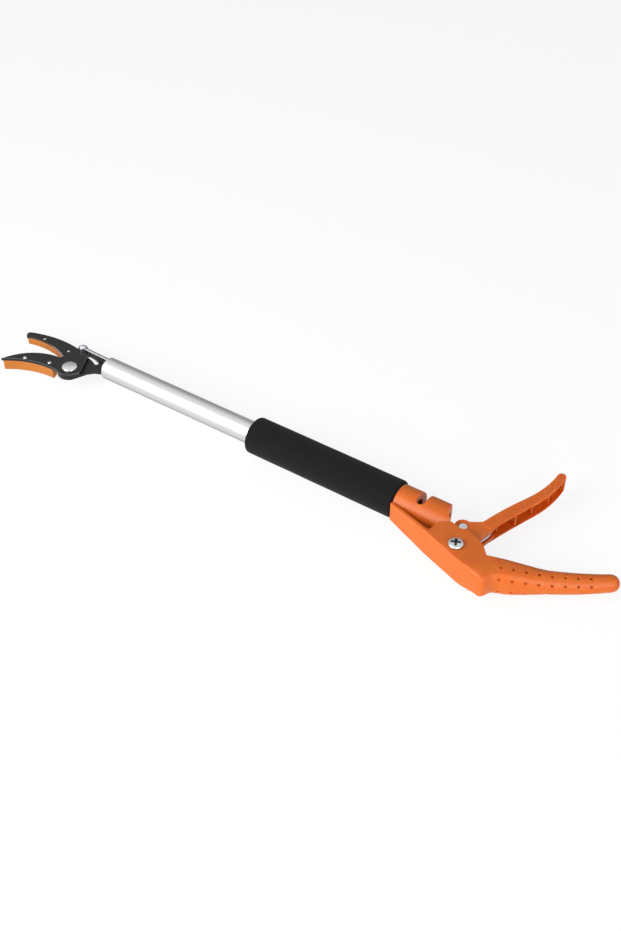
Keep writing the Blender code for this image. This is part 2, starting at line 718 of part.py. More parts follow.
def build_handle(root, looks):
    """The one-piece moulded handle: socket, belly, clevis and lower handle."""
    handle = add_object("handle", prism(body_outline(), -BODY_HALF, BODY_HALF), root,
                        looks["orange"])
    taper_end = SOCKET_FRONT_X + BELLY_TAPER_LENGTH
    for name, side in (("belly_taper_top", 1), ("belly_taper_bottom", -1)):
        wedge = [Vector((SOCKET_FRONT_X - CUT_MARGIN, side * BELLY_FRONT_HALF)),
                 Vector((taper_end, side * BODY_HALF)),
                 Vector((taper_end, side * (BODY_HALF + CUT_MARGIN))),
                 Vector((SOCKET_FRONT_X - CUT_MARGIN, side * (BODY_HALF + CUT_MARGIN)))]
        if side < 0:
            wedge.reverse()
        depth = LEVER_PIVOT_DROP + CUT_MARGIN
        cut(handle, name, upright(prism(wedge, -CUT_MARGIN, depth)))
    for end, side in (("top", 1), ("bottom", -1)):
        cut(handle, f"heel_nose_{end}", heel_nose(side))
    soften(handle, BODY_EDGE)

    half_wall = BELLY_WALL / 2
    web = [belly_point(0.0, half_wall), belly_point(POCKET_LENGTH + CUT_MARGIN, half_wall),
           from_lever(CHEEK_FRONT) + Vector((CUT_MARGIN, 0.0)),
           Vector((SOCKET_FRONT_X + CUT_MARGIN, -TUBE_RADIUS))]
    join(handle, "pocket_web", prism(web, -POCKET_WEB / 2, POCKET_WEB / 2))
    join(handle, "lower_handle", lower_handle_shape())

    rear = SOCKET_FRONT_X + SOCKET_LENGTH
    lip = SOCKET_LIP
    profile = [(SOCKET_FRONT_X, 0.0), (SOCKET_FRONT_X, SOCKET_RADIUS - lip),
               (SOCKET_FRONT_X + 0.3 * lip, SOCKET_RADIUS - 0.3 * lip),
               (SOCKET_FRONT_X + lip, SOCKET_RADIUS), (rear, SOCKET_RADIUS), (rear, 0.0)]
    socket = join(handle, "socket", lathe(profile, 40, along="X"))
    clear = SOCKET_RADIUS + CUT_MARGIN
    trim = [Vector((SOCKET_FRONT_X + SOCKET_TOP_LENGTH, clear)),
            Vector((SOCKET_FRONT_X + SOCKET_NOSE_LENGTH, SOCKET_NOSE_Y)),
            Vector((SOCKET_FRONT_X + SOCKET_SHELF_LENGTH, SOCKET_SHELF_Y)),
            Vector((SOCKET_FRONT_X + SOCKET_SHELF_LENGTH, -clear)),
            Vector((rear + CUT_MARGIN, -clear)), Vector((rear + CUT_MARGIN, clear))]
    cut(socket, "socket_rear_trim", prism(trim, -clear, clear))

    bore = TUBE_RADIUS + SEAT_GAP
    seat = TUBE_REAR_X + SEAT_GAP
    ends = (SOCKET_FRONT_X - CUT_MARGIN, rear + CUT_MARGIN)
    profile = [(ends[0], 0.0), (ends[0], bore), (seat, bore), (seat, ROD_PASSAGE_RADIUS)]
    profile += [(ends[1], ROD_PASSAGE_RADIUS), (ends[1], 0.0)]
    cut(handle, "socket_bore", lathe(profile, 36, along="X"))
    cut(handle, "clevis_gap", prism(clevis_outline(), -CLEVIS_GAP_HALF, CLEVIS_GAP_HALF))
    cut(handle, "socket_notch", notch_shape())
    drill(handle, "lever_bolt_hole", LEVER_PIVOT, LEVER_BOLT_RADIUS + RUNNING_GAP,
          -BODY_HALF - CUT_MARGIN, BODY_HALF + CUT_MARGIN, 24)
    for number, inset in enumerate(SOCKET_SCREW_INSETS):
        spot = (SOCKET_FRONT_X + inset, 0.0)
        drill(handle, f"socket_screw_hole_{number}", spot, SOCKET_SCREW_RADIUS + RUNNING_GAP,
              -SOCKET_RADIUS - CUT_MARGIN, -TUBE_RADIUS + CUT_MARGIN)
    cut(handle, "dimples", dimple_shapes())


def bend(start, angle, radius, distance):
    """Where a curve of one radius has got to, and its heading; a left bend is positive."""
    turned = angle + distance / radius
    shift = Vector((math.sin(turned) - math.sin(angle), math.cos(angle) - math.cos(turned)))
    return start + shift * radius, turned


def lever_spine(distance):
    """The centre and the heading of the squeeze lever at a distance along it."""
    root = min(distance, LEVER_ROOT_LENGTH)
    spot, angle = bend(from_lever(LEVER_START), LEVER_HEADING, -LEVER_ROOT_BEND_RADIUS, root)
    if distance <= LEVER_ROOT_LENGTH:
        return spot, angle
    return bend(spot, angle, LEVER_TIP_BEND_RADIUS, distance - LEVER_ROOT_LENGTH)


def lever_half(distance):
    """Half the depth of the squeeze lever, which tapers towards its tip."""
    length = LEVER_ROOT_LENGTH + LEVER_TIP_LENGTH - LEVER_TAPER_START
    share = min(max((distance - LEVER_TAPER_START) / length, 0.0), 1.0)
    return (LEVER_DEPTH + (LEVER_TIP_DEPTH - LEVER_DEPTH) * share) / 2


def lever_open(distance, inset=0.0):
    """A point on the lever's open side, or inside it by an inset."""
    centre, angle = lever_spine(distance)
    return centre + heading(angle - math.pi / 2, lever_half(distance) - inset)


def lever_closed(distance, inset=0.0):
    """A point on the lever's closed side, or inside it by an inset."""
    centre, angle = lever_spine(distance)
    return centre + heading(angle + math.pi / 2, lever_half(distance) - inset)


def lever_places(first, last, steps):
    """Even distances along the lever."""
    return [first + (last - first) * i / steps for i in range(steps + 1)]


def build_lever(axis, looks):
    """The squeeze lever: a ribbed channel on a forked tongue."""
    end_half = LEVER_TIP_DEPTH / 2
    shaft = LEVER_ROOT_LENGTH + LEVER_TIP_LENGTH - end_half
    places = lever_places(0.0, LEVER_ROOT_LENGTH, 4) + lever_places(LEVER_ROOT_LENGTH, shaft, 6)[1:]
    end, angle = lever_spine(shaft)
    tip = arc(end, lever_half(shaft), angle - math.pi / 2, angle + math.pi / 2, 8)[1:-1]
    outline = [lever_open(s) for s in places] + tip + [lever_closed(s) for s in reversed(places)]
    lever = add_object("squeeze_lever", prism(outline, -LEVER_HALF, LEVER_HALF), axis,
                       looks["orange"])
    soften(lever, LEVER_EDGE)

    reach = shaft - LEVER_WALL
    places = lever_places(LEVER_CHANNEL_START, LEVER_ROOT_LENGTH, 4)
    places += lever_places(LEVER_ROOT_LENGTH, reach, 6)[1:]
    mouth = [lever_open(s, -CUT_MARGIN) for s in places]
    back = [lever_closed(s, LEVER_WALL) for s in places]
    channel_half = LEVER_HALF - LEVER_WALL
    cut(lever, "lever_channel",
        prism(mouth + list(reversed(back)), -channel_half, channel_half))

    sunk = LEVER_WALL - LEVER_RIB_SUNK
    for number, (place, drop) in enumerate(zip(LEVER_RIB_PLACES, LEVER_RIB_DROPS)):
        after = place + LEVER_RIB
        rib = [lever_closed(after, sunk), lever_closed(place, sunk), lever_open(place, drop),
               lever_open(after, drop)]
        thickness = channel_half + LEVER_WALL / 2
        join(lever, f"lever_rib_{number}", prism(rib, -thickness, thickness))

    pivot = flat(LEVER_PIVOT)
    inset = TONGUE_INSET
    tongue = arc(pivot, HUB_RADIUS, 205 * DEG, 335 * DEG, 8)
    tongue += [from_lever(TONGUE_BACK), lever_open(TONGUE_REACH, LEVER_WALL / 2)]
    tongue += [lever_closed(TONGUE_REACH, inset), lever_closed(TONGUE_REACH / 2, inset)]
    tongue += [from_lever(TONGUE_TOP)]
    tongue += arc(LEVER_EYE, EAR_RADIUS, 75 * DEG, 200 * DEG, 10)
    shape = join(lever, "lever_tongue", prism(tongue, -TONGUE_HALF, TONGUE_HALF))
    soften(shape, TONGUE_EDGE, 1)

    fork = arc(pivot, HUB_RADIUS + CUT_MARGIN, 180 * DEG, 350 * DEG, 8)
    fork += [from_lever(FORK_BACK), lever_open(FORK_MOUTH, -CUT_MARGIN)]
    fork += [lever_closed(FORK_MOUTH, LEVER_WALL + inset)]
    fork += [lever_closed(FORK_FLOOR, LEVER_WALL + inset)]
    fork += [from_lever(FORK_FRONT)]
    fork += arc(LEVER_EYE, EAR_RADIUS + CUT_MARGIN, 60 * DEG, 190 * DEG, 6)
    cut(lever, "lever_fork", prism(fork, -FORK_HALF, FORK_HALF))
    drill(lever, "lever_bush_hole", LEVER_PIVOT, BUSH_RADIUS + RUNNING_GAP,
          -LEVER_HALF, LEVER_HALF, 24)
    drill(lever, "lever_pin_hole", LEVER_EYE, LEVER_PIN_RADIUS + RUNNING_GAP,
          -LEVER_HALF, LEVER_HALF, 20)

    length = TONGUE_HALF - LEVER_PIN_SINK
    edge = LEVER_PIN_CHAMFER
    profile = [(-length, 0.0), (-length, LEVER_PIN_RADIUS), (length - edge, LEVER_PIN_RADIUS),
               (length, LEVER_PIN_RADIUS - edge), (length, 0.0)]
    add_object("lever_pin", lathe(profile, 20, (LEVER_EYE.x, LEVER_EYE.y, 0.0)), axis,
               looks["zinc"])
    build_spring(axis, looks)


def build_spring(axis, looks):
    """The wound return spring in the fork, with the leg that pushes the lever open."""
    pivot = flat(LEVER_PIVOT)
    radius = BUSH_RADIUS + SEAT_GAP + SPRING_WIRE
    rise = 2 * SPRING_WIRE + SPRING_COIL_GAP
    total = int(SPRING_TURNS * SPRING_POINTS_PER_TURN)
    last = SPRING_LEG_HEADING - math.pi / 2
    route = []
    for i in range(total + 1):
        turned = SPRING_TURNS * (i / total)
        spot = pivot + heading(last + 2 * math.pi * (turned - SPRING_TURNS), radius)
        route.append(Vector((spot.x, spot.y, rise * (turned - SPRING_TURNS / 2))))
    run = heading(SPRING_LEG_HEADING, SPRING_LEG / 2).to_3d()
    route += [route[-1] + run, route[-1] + run * 2]
    route += [route[-1] + heading(SPRING_LEG_HEADING + SPRING_TIP_BEND, SPRING_TIP).to_3d()]
    least = 2 * radius
    for i, one in enumerate(route):
        for other in route[i + SPRING_POINTS_PER_TURN // 2:]:
            least = min(least, (one - other).length)
    print(f"least gap of the spring to itself: {(least - 2 * SPRING_WIRE) / MM:.2f} mm")

    curve = bpy.data.curves.new("return_spring", "CURVE")
    curve.dimensions = "3D"
    curve.bevel_depth = SPRING_WIRE
    curve.bevel_resolution = 1
    curve.use_fill_caps = True
    line = curve.splines.new("POLY")
    line.points.add(len(route) - 1)
    for point, spot in zip(line.points, route):
        point.co = (spot.x, spot.y, spot.z, 1.0)
    curve.materials.append(looks["zinc"])
    spring = bpy.data.objects.new("return_spring", curve)
    bpy.context.collection.objects.link(spring)
    spring.parent = axis
    spring.location = -axis_place(axis)


def screw_profile(head_low, head_radius, crown, shank_radius, shank_low):
    """A turned bolt or rivet: a domed head over a plain shank, from its foot up."""
    top = head_low + crown
    profile = [(shank_low, 0.0), (shank_low, shank_radius), (head_low, shank_radius)]
    profile += [(head_low, head_radius), (head_low + 0.35 * crown, head_radius)]
    profile += [(head_low + 0.78 * crown, 0.74 * head_radius), (top, 0.36 * head_radius)]
    profile += [(top, 0.0)]
    return profile


def hexagon_nut(centre, flats, low, high, bore):
    """A six-sided nut with its bore."""
    mesh = prism(circle(centre, flats / math.sqrt(3), 6), low, high)
    return mesh, prism(circle(centre, bore, 16), low - CUT_MARGIN, high + CUT_MARGIN)


def build_pivots(root, looks):
    """The bolts, nuts, bush, pin and screws that stay with the tube and the handle."""
    foot = CLEVIS_WALL_LOW - LEVER_NUT_HEIGHT - BOLT_END
    profile = screw_profile(CLEVIS_WALL_HIGH, LEVER_BOLT_HEAD, LEVER_BOLT_CROWN,
                            LEVER_BOLT_RADIUS, foot)
    add_object("lever_bolt", lathe(profile, 28, LEVER_PIVOT), root, looks["zinc"])
    nut, hole = hexagon_nut(LEVER_PIVOT, LEVER_NUT_FLATS, CLEVIS_WALL_LOW - LEVER_NUT_HEIGHT,
                            CLEVIS_WALL_LOW, LEVER_BOLT_RADIUS + RUNNING_GAP)
    item = add_object("lever_nut", nut, root, looks["zinc"])
    soften(item, NUT_CHAMFER, 1)
    cut(item, "lever_nut_bore", hole)
    end = CLEVIS_GAP_HALF - SEAT_GAP
    profile = [(-end, BUSH_BORE), (-end, BUSH_RADIUS), (end, BUSH_RADIUS), (end, BUSH_BORE)]
    add_object("lever_bush", lathe(profile, 24, LEVER_PIVOT, ring=True), root, looks["zinc"])

    head_low = MOVING_TOP + SEAT_GAP
    foot = FIXED_LOW - SEAT_GAP - JAW_NUT_HEIGHT - BOLT_END
    profile = screw_profile(head_low, JAW_BOLT_HEAD, JAW_BOLT_CROWN, JAW_BOLT_RADIUS, foot)
    add_object("jaw_bolt", lathe(profile, 32, JAW_PIVOT), root, looks["silver"])
    high = FIXED_LOW - SEAT_GAP
    nut, hole = hexagon_nut(JAW_PIVOT, JAW_NUT_FLATS, high - JAW_NUT_HEIGHT, high,
                            JAW_BOLT_RADIUS + RUNNING_GAP)
    item = add_object("jaw_nut", nut, root, looks["zinc"])
    soften(item, NUT_CHAMFER, 1)
    cut(item, "jaw_nut_bore", hole)

    profile = screw_profile(0.0, NECK_PIN_HEAD, NECK_PIN_CROWN, NECK_PIN_RADIUS, -NECK_PIN_LENGTH)
    mesh = lathe(profile, 16)
    bmesh.ops.rotate(mesh, verts=mesh.verts, matrix=Matrix.Rotation(math.pi, 3, "X"))
    seat = Vector((NECK_PIN_X, 0.0, -TUBE_RADIUS - SEAT_GAP))
    bmesh.ops.translate(mesh, verts=mesh.verts, vec=seat)
    add_object("neck_pin", mesh, root, looks["silver"])

    depth = SOCKET_RADIUS - TUBE_BORE + SOCKET_SCREW_POINT
    profile = screw_profile(0.0, SOCKET_SCREW_HEAD, SOCKET_SCREW_CROWN, SOCKET_SCREW_RADIUS, -depth)
    for number, inset in enumerate(SOCKET_SCREW_INSETS):
        mesh = lathe(profile, 16)
        bmesh.ops.rotate(mesh, verts=mesh.verts, matrix=Matrix.Rotation(math.pi, 3, "X"))
        seat = Vector((SOCKET_FRONT_X + inset, 0.0, -SOCKET_RADIUS - SEAT_GAP))
        bmesh.ops.translate(mesh, verts=mesh.verts, vec=seat)
        add_object(f"socket_screw_{number + 1}", mesh, root, looks["zinc"])


def stop_slot_outline():
    """The curved, round-ended slot beside the neck."""
    pivot = flat(JAW_PIVOT)
    start = STOP_SLOT_START
    end = start + SQUEEZE
    half = STOP_SLOT_HALF
    points = arc(pivot, STOP_SLOT_RADIUS + half, start, end, 7)
    points += arc(pivot + heading(end, STOP_SLOT_RADIUS), half, end, end + math.pi, 6)[1:-1]
    points += arc(pivot, STOP_SLOT_RADIUS - half, end, start, 7)
    points += arc(pivot + heading(start, STOP_SLOT_RADIUS), half, start + math.pi,
                  start + 2 * math.pi, 6)[1:-1]
    return points


def build_fixed_jaw(root, looks):
    """The fixed jaw plate with its neck and tang, its pad and the pad's rivets."""
    pivot = flat(JAW_PIVOT)
    neck_x = TUBE_FRONT_X - CUT_MARGIN / 2
    tang_x = TUBE_FRONT_X + TANG_LENGTH
    edge = fixed_cutting_edge()
    boss = arc(pivot, BOSS_RADIUS, 152 * DEG, 318 * DEG, 14)
    lower_neck = [from_jaw(place) for place in NECK_BEND] + [Vector((neck_x, -NECK_HALF))]
    tang = [Vector((neck_x, -TANG_HALF)), Vector((tang_x, -TANG_HALF)),
            Vector((tang_x, TANG_HALF)), Vector((neck_x, TANG_HALF)),
            Vector((neck_x, NECK_HALF))]
    back = bow(from_jaw(FIXED_BACK_HEEL), from_jaw(FIXED_BACK_TIP), -FIXED_BACK_SAG)
    shoulder = [from_jaw(place) for place in reversed(FIXED_SHOULDER)]
    rest = boss + lower_neck + tang + shoulder + back + [from_jaw(FIXED_TIP)]
    low_edge = ground(edge, True, 1)
    plate = add_object("fixed_jaw", prism(low_edge + rest, FIXED_LOW, FIXED_TOP, edge + rest),
                       root, looks["steel"])
    reach = (FIXED_LOW - CUT_MARGIN, FIXED_TOP + CUT_MARGIN)
    drill(plate, "fixed_jaw_bore", JAW_PIVOT, JAW_BOLT_RADIUS + RUNNING_GAP, *reach, 24)
    cut(plate, "stop_slot", prism(stop_slot_outline(), *reach))
    drill(plate, "neck_pin_hole", (NECK_PIN_X, 0.0), NECK_PIN_RADIUS + RUNNING_GAP, *reach, 16)

    inset = Vector((0.0, PAD_EDGE))
    face = [point + inset for point in edge[:-1]]
    back_line = [point - inset for point in back[1:]]
    outline = face + back_line + [from_jaw(FIXED_TIP) + Vector((PAD_TIP_INSET, 0.0))]
    spots = [from_jaw(place) for place in FIXED_RIVETS]
    build_pad("fixed_jaw_pad", outline, FIXED_LOW - SEAT_GAP, spots, root, looks)
    build_rivets("fixed_pad_rivet", plate, spots, FIXED_TOP, FIXED_LOW, root, looks)


def build_pad(name, outline, top, spots, axis, looks):
    """A moulded grip pad under a jaw plate."""
    pad = add_object(name, prism(outline, PAD_BOTTOM, top), axis, looks["pad"])
    soften(pad, PAD_EDGE / 2, 1)
    for number, spot in enumerate(spots):
        drill(pad, f"{name}_hole_{number}", spot, PAD_RIVET_RADIUS + SEAT_GAP,
              PAD_BOTTOM - CUT_MARGIN, top + CUT_MARGIN, 12)


def build_rivets(name, plate, spots, plate_top, plate_low, axis, looks):
    """The rivets of one pad, with the holes that they need in the plate."""
    sunk = plate_top < 0.0
    head_low = plate_top - RIVET_SINK if sunk else plate_top + SEAT_GAP
    crown = RIVET_SINK - SEAT_GAP if sunk else PAD_RIVET_CROWN
    for number, spot in enumerate(spots):
        drill(plate, f"{name}_hole_{number}", spot, PAD_RIVET_RADIUS + SEAT_GAP,
              plate_low - CUT_MARGIN, plate_top + CUT_MARGIN, 12)
        if sunk:
            drill(plate, f"{name}_sink_{number}", spot, PAD_RIVET_HEAD + SEAT_GAP,
                  head_low - SEAT_GAP, plate_top + CUT_MARGIN, 12)
        profile = [(PAD_BOTTOM, 0.0), (PAD_BOTTOM, PAD_RIVET_RADIUS), (head_low, PAD_RIVET_RADIUS)]
        profile += [(head_low, PAD_RIVET_HEAD), (head_low + 0.4 * crown, PAD_RIVET_HEAD)]
        profile += [(head_low + crown, 0.5 * PAD_RIVET_HEAD), (head_low + crown, 0.0)]
        mesh = lathe(profile, 12, (spot[0], spot[1], 0.0))
        add_object(f"{name}_{number + 1}", mesh, axis, looks["silver"])


def build_moving_jaw(axis, looks):
    """The moving jaw plate, its tail, its pad and rivets, all on the head pivot."""
    pivot = flat(JAW_PIVOT)
    edge = moving_cutting_edge()
    back = bow(from_jaw(MOVING_BACK_TIP), from_jaw(MOVING_BACK_HEEL), MOVING_BACK_SAG)
    boss = arc(pivot, BOSS_RADIUS, 255 * DEG, 318 * DEG, 6)
    tail = [from_jaw(place) for place in MOVING_TAIL]
    eye = arc(JAW_EYE, MOVING_EYE_RADIUS, 80 * DEG, 200 * DEG, 8)
    rest = [from_jaw(MOVING_TIP)] + back + boss + tail + eye + [from_jaw(MOVING_SHOULDER)]
    high_edge = ground(edge, False, 1)
    plate = add_object("moving_jaw", prism(edge + rest, MOVING_LOW, MOVING_TOP, high_edge + rest),
                       axis, looks["steel"])
    reach = (MOVING_LOW - CUT_MARGIN, MOVING_TOP + CUT_MARGIN)
    drill(plate, "moving_jaw_bore", JAW_PIVOT, JAW_BOLT_RADIUS + RUNNING_GAP, *reach, 24)
    drill(plate, "eye_rivet_hole", JAW_EYE, EYE_RIVET_RADIUS + SEAT_GAP, *reach, 16)

    partner = turned_about(fixed_cutting_edge()[:-1], JAW_PIVOT, SQUEEZE + PAD_BACK_ANGLE)
    tip = from_jaw(MOVING_TIP) + Vector((PAD_TIP_INSET, 0.0))
    face = [point for point in partner if point.x > tip.x]
    outer = [point + Vector((0.0, PAD_INSET)) for point in back if point.x < from_jaw(PAD_HEEL).x]
    heel = [from_jaw(PAD_HEEL), from_jaw(PAD_HEEL_INNER)]
    outline = face + list(reversed(outer + heel))
    spots = [from_jaw(place) for place in MOVING_RIVETS]
    build_pad("moving_jaw_pad", outline, MOVING_LOW - SEAT_GAP, spots, axis, looks)
    build_rivets("moving_pad_rivet", plate, spots, MOVING_TOP, MOVING_LOW, axis, looks)

    profile = screw_profile(EYE_HIGH + SEAT_GAP, EYE_RIVET_HEAD, EYE_RIVET_CROWN,
                            EYE_RIVET_RADIUS, MOVING_LOW)
    add_object("eye_rivet", lathe(profile, 16, (JAW_EYE.x, JAW_EYE.y, 0.0)), axis,
               looks["silver"])


def build_rod(axis, looks):
    """The pull rod with its flattened front eye, and the crimped eye on its rear end."""
    front = Vector((JAW_EYE.x, JAW_EYE.y, EYE_LOW + ROD_RADIUS))
    rear = Vector((LEVER_EYE.x, LEVER_EYE.y, 0.0))
    run = (rear - front).normalized()
    start = front + run * (EYE_RIVET_HEAD + RUNNING_GAP)
    rim = rear - run * REAR_EYE_RADIUS
    seat = rim - run * ROD_BORE_REST
    end = seat - run * SEAT_GAP
    rod = add_object("pull_rod", rod_between(start, end, ROD_RADIUS, 12), axis, looks["silver"])
    join(rod, "rod_front_eye", prism(circle(JAW_EYE, ROD_EYE_RADIUS, 20), EYE_LOW, EYE_HIGH))
    drill(rod, "rod_front_hole", JAW_EYE, EYE_RIVET_RADIUS + RUNNING_GAP,
          EYE_LOW - CUT_MARGIN, EYE_HIGH + CUT_MARGIN, 16)

    half = REAR_EYE_THICK / 2
    eye = prism(circle(LEVER_EYE, REAR_EYE_RADIUS, 20), -half, half)
    end_piece = add_object("rod_end", eye, axis, looks["zinc"])
    mouth = rim - run * ROD_SLEEVE_LENGTH
    sunk = rim + run * ROD_SLEEVE_SUNK
    sleeve = rod_between(mouth, sunk, ROD_SLEEVE_RADIUS, 16, ROD_RADIUS + SEAT_GAP,
                         (seat - mouth).length)
    join(end_piece, "rod_end_sleeve", sleeve)
    drill(end_piece, "rod_end_hole", LEVER_EYE, LEVER_PIN_RADIUS + RUNNING_GAP,
          -REAR_EYE_THICK, REAR_EYE_THICK, 20)


def stand_on_footprint(root):
    """Shift the whole tool so that it lies on Z = 0, centred on its footprint."""
    bpy.context.view_layer.update()
    graph = bpy.context.evaluated_depsgraph_get()
    low = Vector((math.inf,) * 3)
    high = Vector((-math.inf,) * 3)
    for item in bpy.context.scene.objects:
        if item.hide_render or item.type not in {"MESH", "CURVE"}:
            continue
        shape = item.evaluated_get(graph)
        mesh = shape.to_mesh()
        for vertex in mesh.vertices:
            place = shape.matrix_world @ vertex.co
            low = Vector(map(min, low, place))
            high = Vector(map(max, high, place))
        shape.to_mesh_clear()
    root.location = (-(low.x + high.x) / 2, -(low.y + high.y) / 2, -low.z)
    bpy.context.view_layer.update()


def main():
    """Build the whole tool."""
    for item in list(bpy.data.objects):
        bpy.data.objects.remove(item, do_unlink=True)
    looks = {
        "orange": finish("orange_nylon", ORANGE, 0.42, 0.0),
        "pad": finish("orange_pad_plastic", PAD_ORANGE, 0.5, 0.0),
        "foam": finish("black_foam", BLACK_FOAM, 0.95, 0.0),
        "steel": finish("blackened_steel", BLACK_STEEL, 0.45, 0.6),
        "tube": finish("anodised_aluminium", SILVER, 0.35, 1.0),
        "silver": finish("bright_steel", SILVER, 0.25, 1.0),
        "zinc": finish("zinc_plated_steel", ZINC, 0.35, 1.0),
        "nylon": finish("black_nylon", BLACK_NYLON, 0.6, 0.0),
    }
    root = add_axis("tool_frame", (0.0, 0.0, 0.0), None)
    lever_axis = add_axis("lever_axis", LEVER_PIVOT, root)
    jaw_axis = add_axis("jaw_axis", JAW_PIVOT, root)
    rod_axis = add_axis("rod_axis", (LEVER_EYE.x, LEVER_EYE.y, 0.0), lever_axis)
    build_tube(root, looks)
    build_handle(root, looks)
    build_pivots(root, looks)
    build_fixed_jaw(root, looks)
    build_moving_jaw(jaw_axis, looks)
    build_lever(lever_axis, looks)
    build_rod(rod_axis, looks)
    stand_on_footprint(root)


main()
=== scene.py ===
"""Dresses the long-reach pruner for its studio picture.

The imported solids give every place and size. Pieces that show get finer shapes
and the finish of the real material; the rest keep their solid and get a finish.
Lengths on the tool are in metres, written as millimetres times MM. The studio's
are in plain metres.
"""
import logging
import math
from collections.abc import Callable, Iterator
from contextlib import contextmanager
from dataclasses import dataclass
from enum import Enum

import bmesh
import bpy
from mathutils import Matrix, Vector


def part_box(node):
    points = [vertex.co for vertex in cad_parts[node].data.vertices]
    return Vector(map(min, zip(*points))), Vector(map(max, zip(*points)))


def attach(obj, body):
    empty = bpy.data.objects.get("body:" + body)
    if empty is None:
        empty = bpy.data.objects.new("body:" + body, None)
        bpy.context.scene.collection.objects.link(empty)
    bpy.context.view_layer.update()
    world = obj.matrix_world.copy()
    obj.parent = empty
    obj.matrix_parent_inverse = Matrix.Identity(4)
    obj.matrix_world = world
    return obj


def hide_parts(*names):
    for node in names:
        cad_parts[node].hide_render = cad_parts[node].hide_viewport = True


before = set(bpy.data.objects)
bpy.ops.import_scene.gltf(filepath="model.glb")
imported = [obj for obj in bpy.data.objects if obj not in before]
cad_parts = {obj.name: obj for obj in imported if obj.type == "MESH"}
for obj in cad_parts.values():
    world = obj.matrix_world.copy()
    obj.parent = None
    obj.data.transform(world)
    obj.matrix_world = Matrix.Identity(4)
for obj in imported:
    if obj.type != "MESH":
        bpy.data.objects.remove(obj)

MM = 0.001
DEG = math.pi / 180.0
# Faces that meet at more than SHARP have an edge, at less than FLAT they are one.
SHARP = 40 * DEG
FLAT = 0.4 * DEG
# Points that are nearer than this are one.
TOUCH = 0.002 * MM
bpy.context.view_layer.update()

Material = bpy.types.Material
Node = bpy.types.Node
Piece = bpy.types.Object
Socket = bpy.types.NodeSocket
Tree = bpy.types.NodeTree
Pair = tuple[float, float]
Triple = tuple[float, float, float]
Edge = bmesh.types.BMEdge
Face = bmesh.types.BMFace
Point = bmesh.types.BMVert

logging.basicConfig(level=logging.INFO, format="%(message)s")
log = logging.getLogger("pruner")


class Body(Enum):
    """The bodies of the linkage that a piece can ride on."""

    POLE = "pole"
    LEVER = "lever"
    ROD = "rod"
    JAW = "jaw"


class Slot(Enum):
    """The material slots that new pieces stand for."""

    TUBE = "satin_aluminium"
    FOAM = "black_foam"
    ORANGE = "orange_nylon"
    PAD = "orange_pad"
    ZINC = "zinc_plated_steel"
    BRIGHT = "bright_steel"
    SPRING = "spring_steel"
    BLACK = "blackened_steel"


class Shading(Enum):
    """The angle up to which faces are shaded as one, by how a piece is made."""

    STAMPED = 25 * DEG
    MOULDED = 35 * DEG
    TURNED = 40 * DEG
    ROUND = 60 * DEG


class Part(Enum):
    """The parts of a mesh that edit mode selects."""

    POINTS = "VERT"
    EDGES = "EDGE"
    FACES = "FACE"


# Nodes and finishes


def linear(code: str) -> tuple[float, float, float, float]:
    """Turn an sRGB colour into the linear one that a shader takes.

    Args:
        code: The colour as six hex digits.

    Returns:
        Linear red, green, blue and an alpha of 1.
    """
    channels = [int(code[i:i + 2], 16) / 255 for i in (0, 2, 4)]
    red, green, blue = (c / 12.92 if c <= 0.04045 else ((c + 0.055) / 1.055) ** 2.4
                        for c in channels)
    return red, green, blue, 1.0


def add_node(tree: Tree, kind: str, settings: dict | None = None,
             links: dict | None = None, values: dict | None = None) -> Node:
    """Add a shader node with its settings, links and socket values.

    Args:
        tree: The material's or the world's node tree.
        kind: The node's type.
        settings: Properties of the node itself.
        links: For each input, by name or number, the output that feeds it.
        values: For each input, by name or number, its value.

    Returns:
        The new node.
    """
    node = tree.nodes.new(kind)
    for name, value in (settings or {}).items():
        setattr(node, name, value)
    for name, value in (values or {}).items():
        node.inputs[name].default_value = value
    for name, source in (links or {}).items():
        tree.links.new(source, node.inputs[name])
    return node


@dataclass(frozen=True)
class Noise:
    """An uneven pattern at a real size.

    Attributes:
        size: The length of its widest waves.
        detail: How many finer layers lie on them.
        roughness: How strong those are.
    """

    size: float
    detail: float
    roughness: float


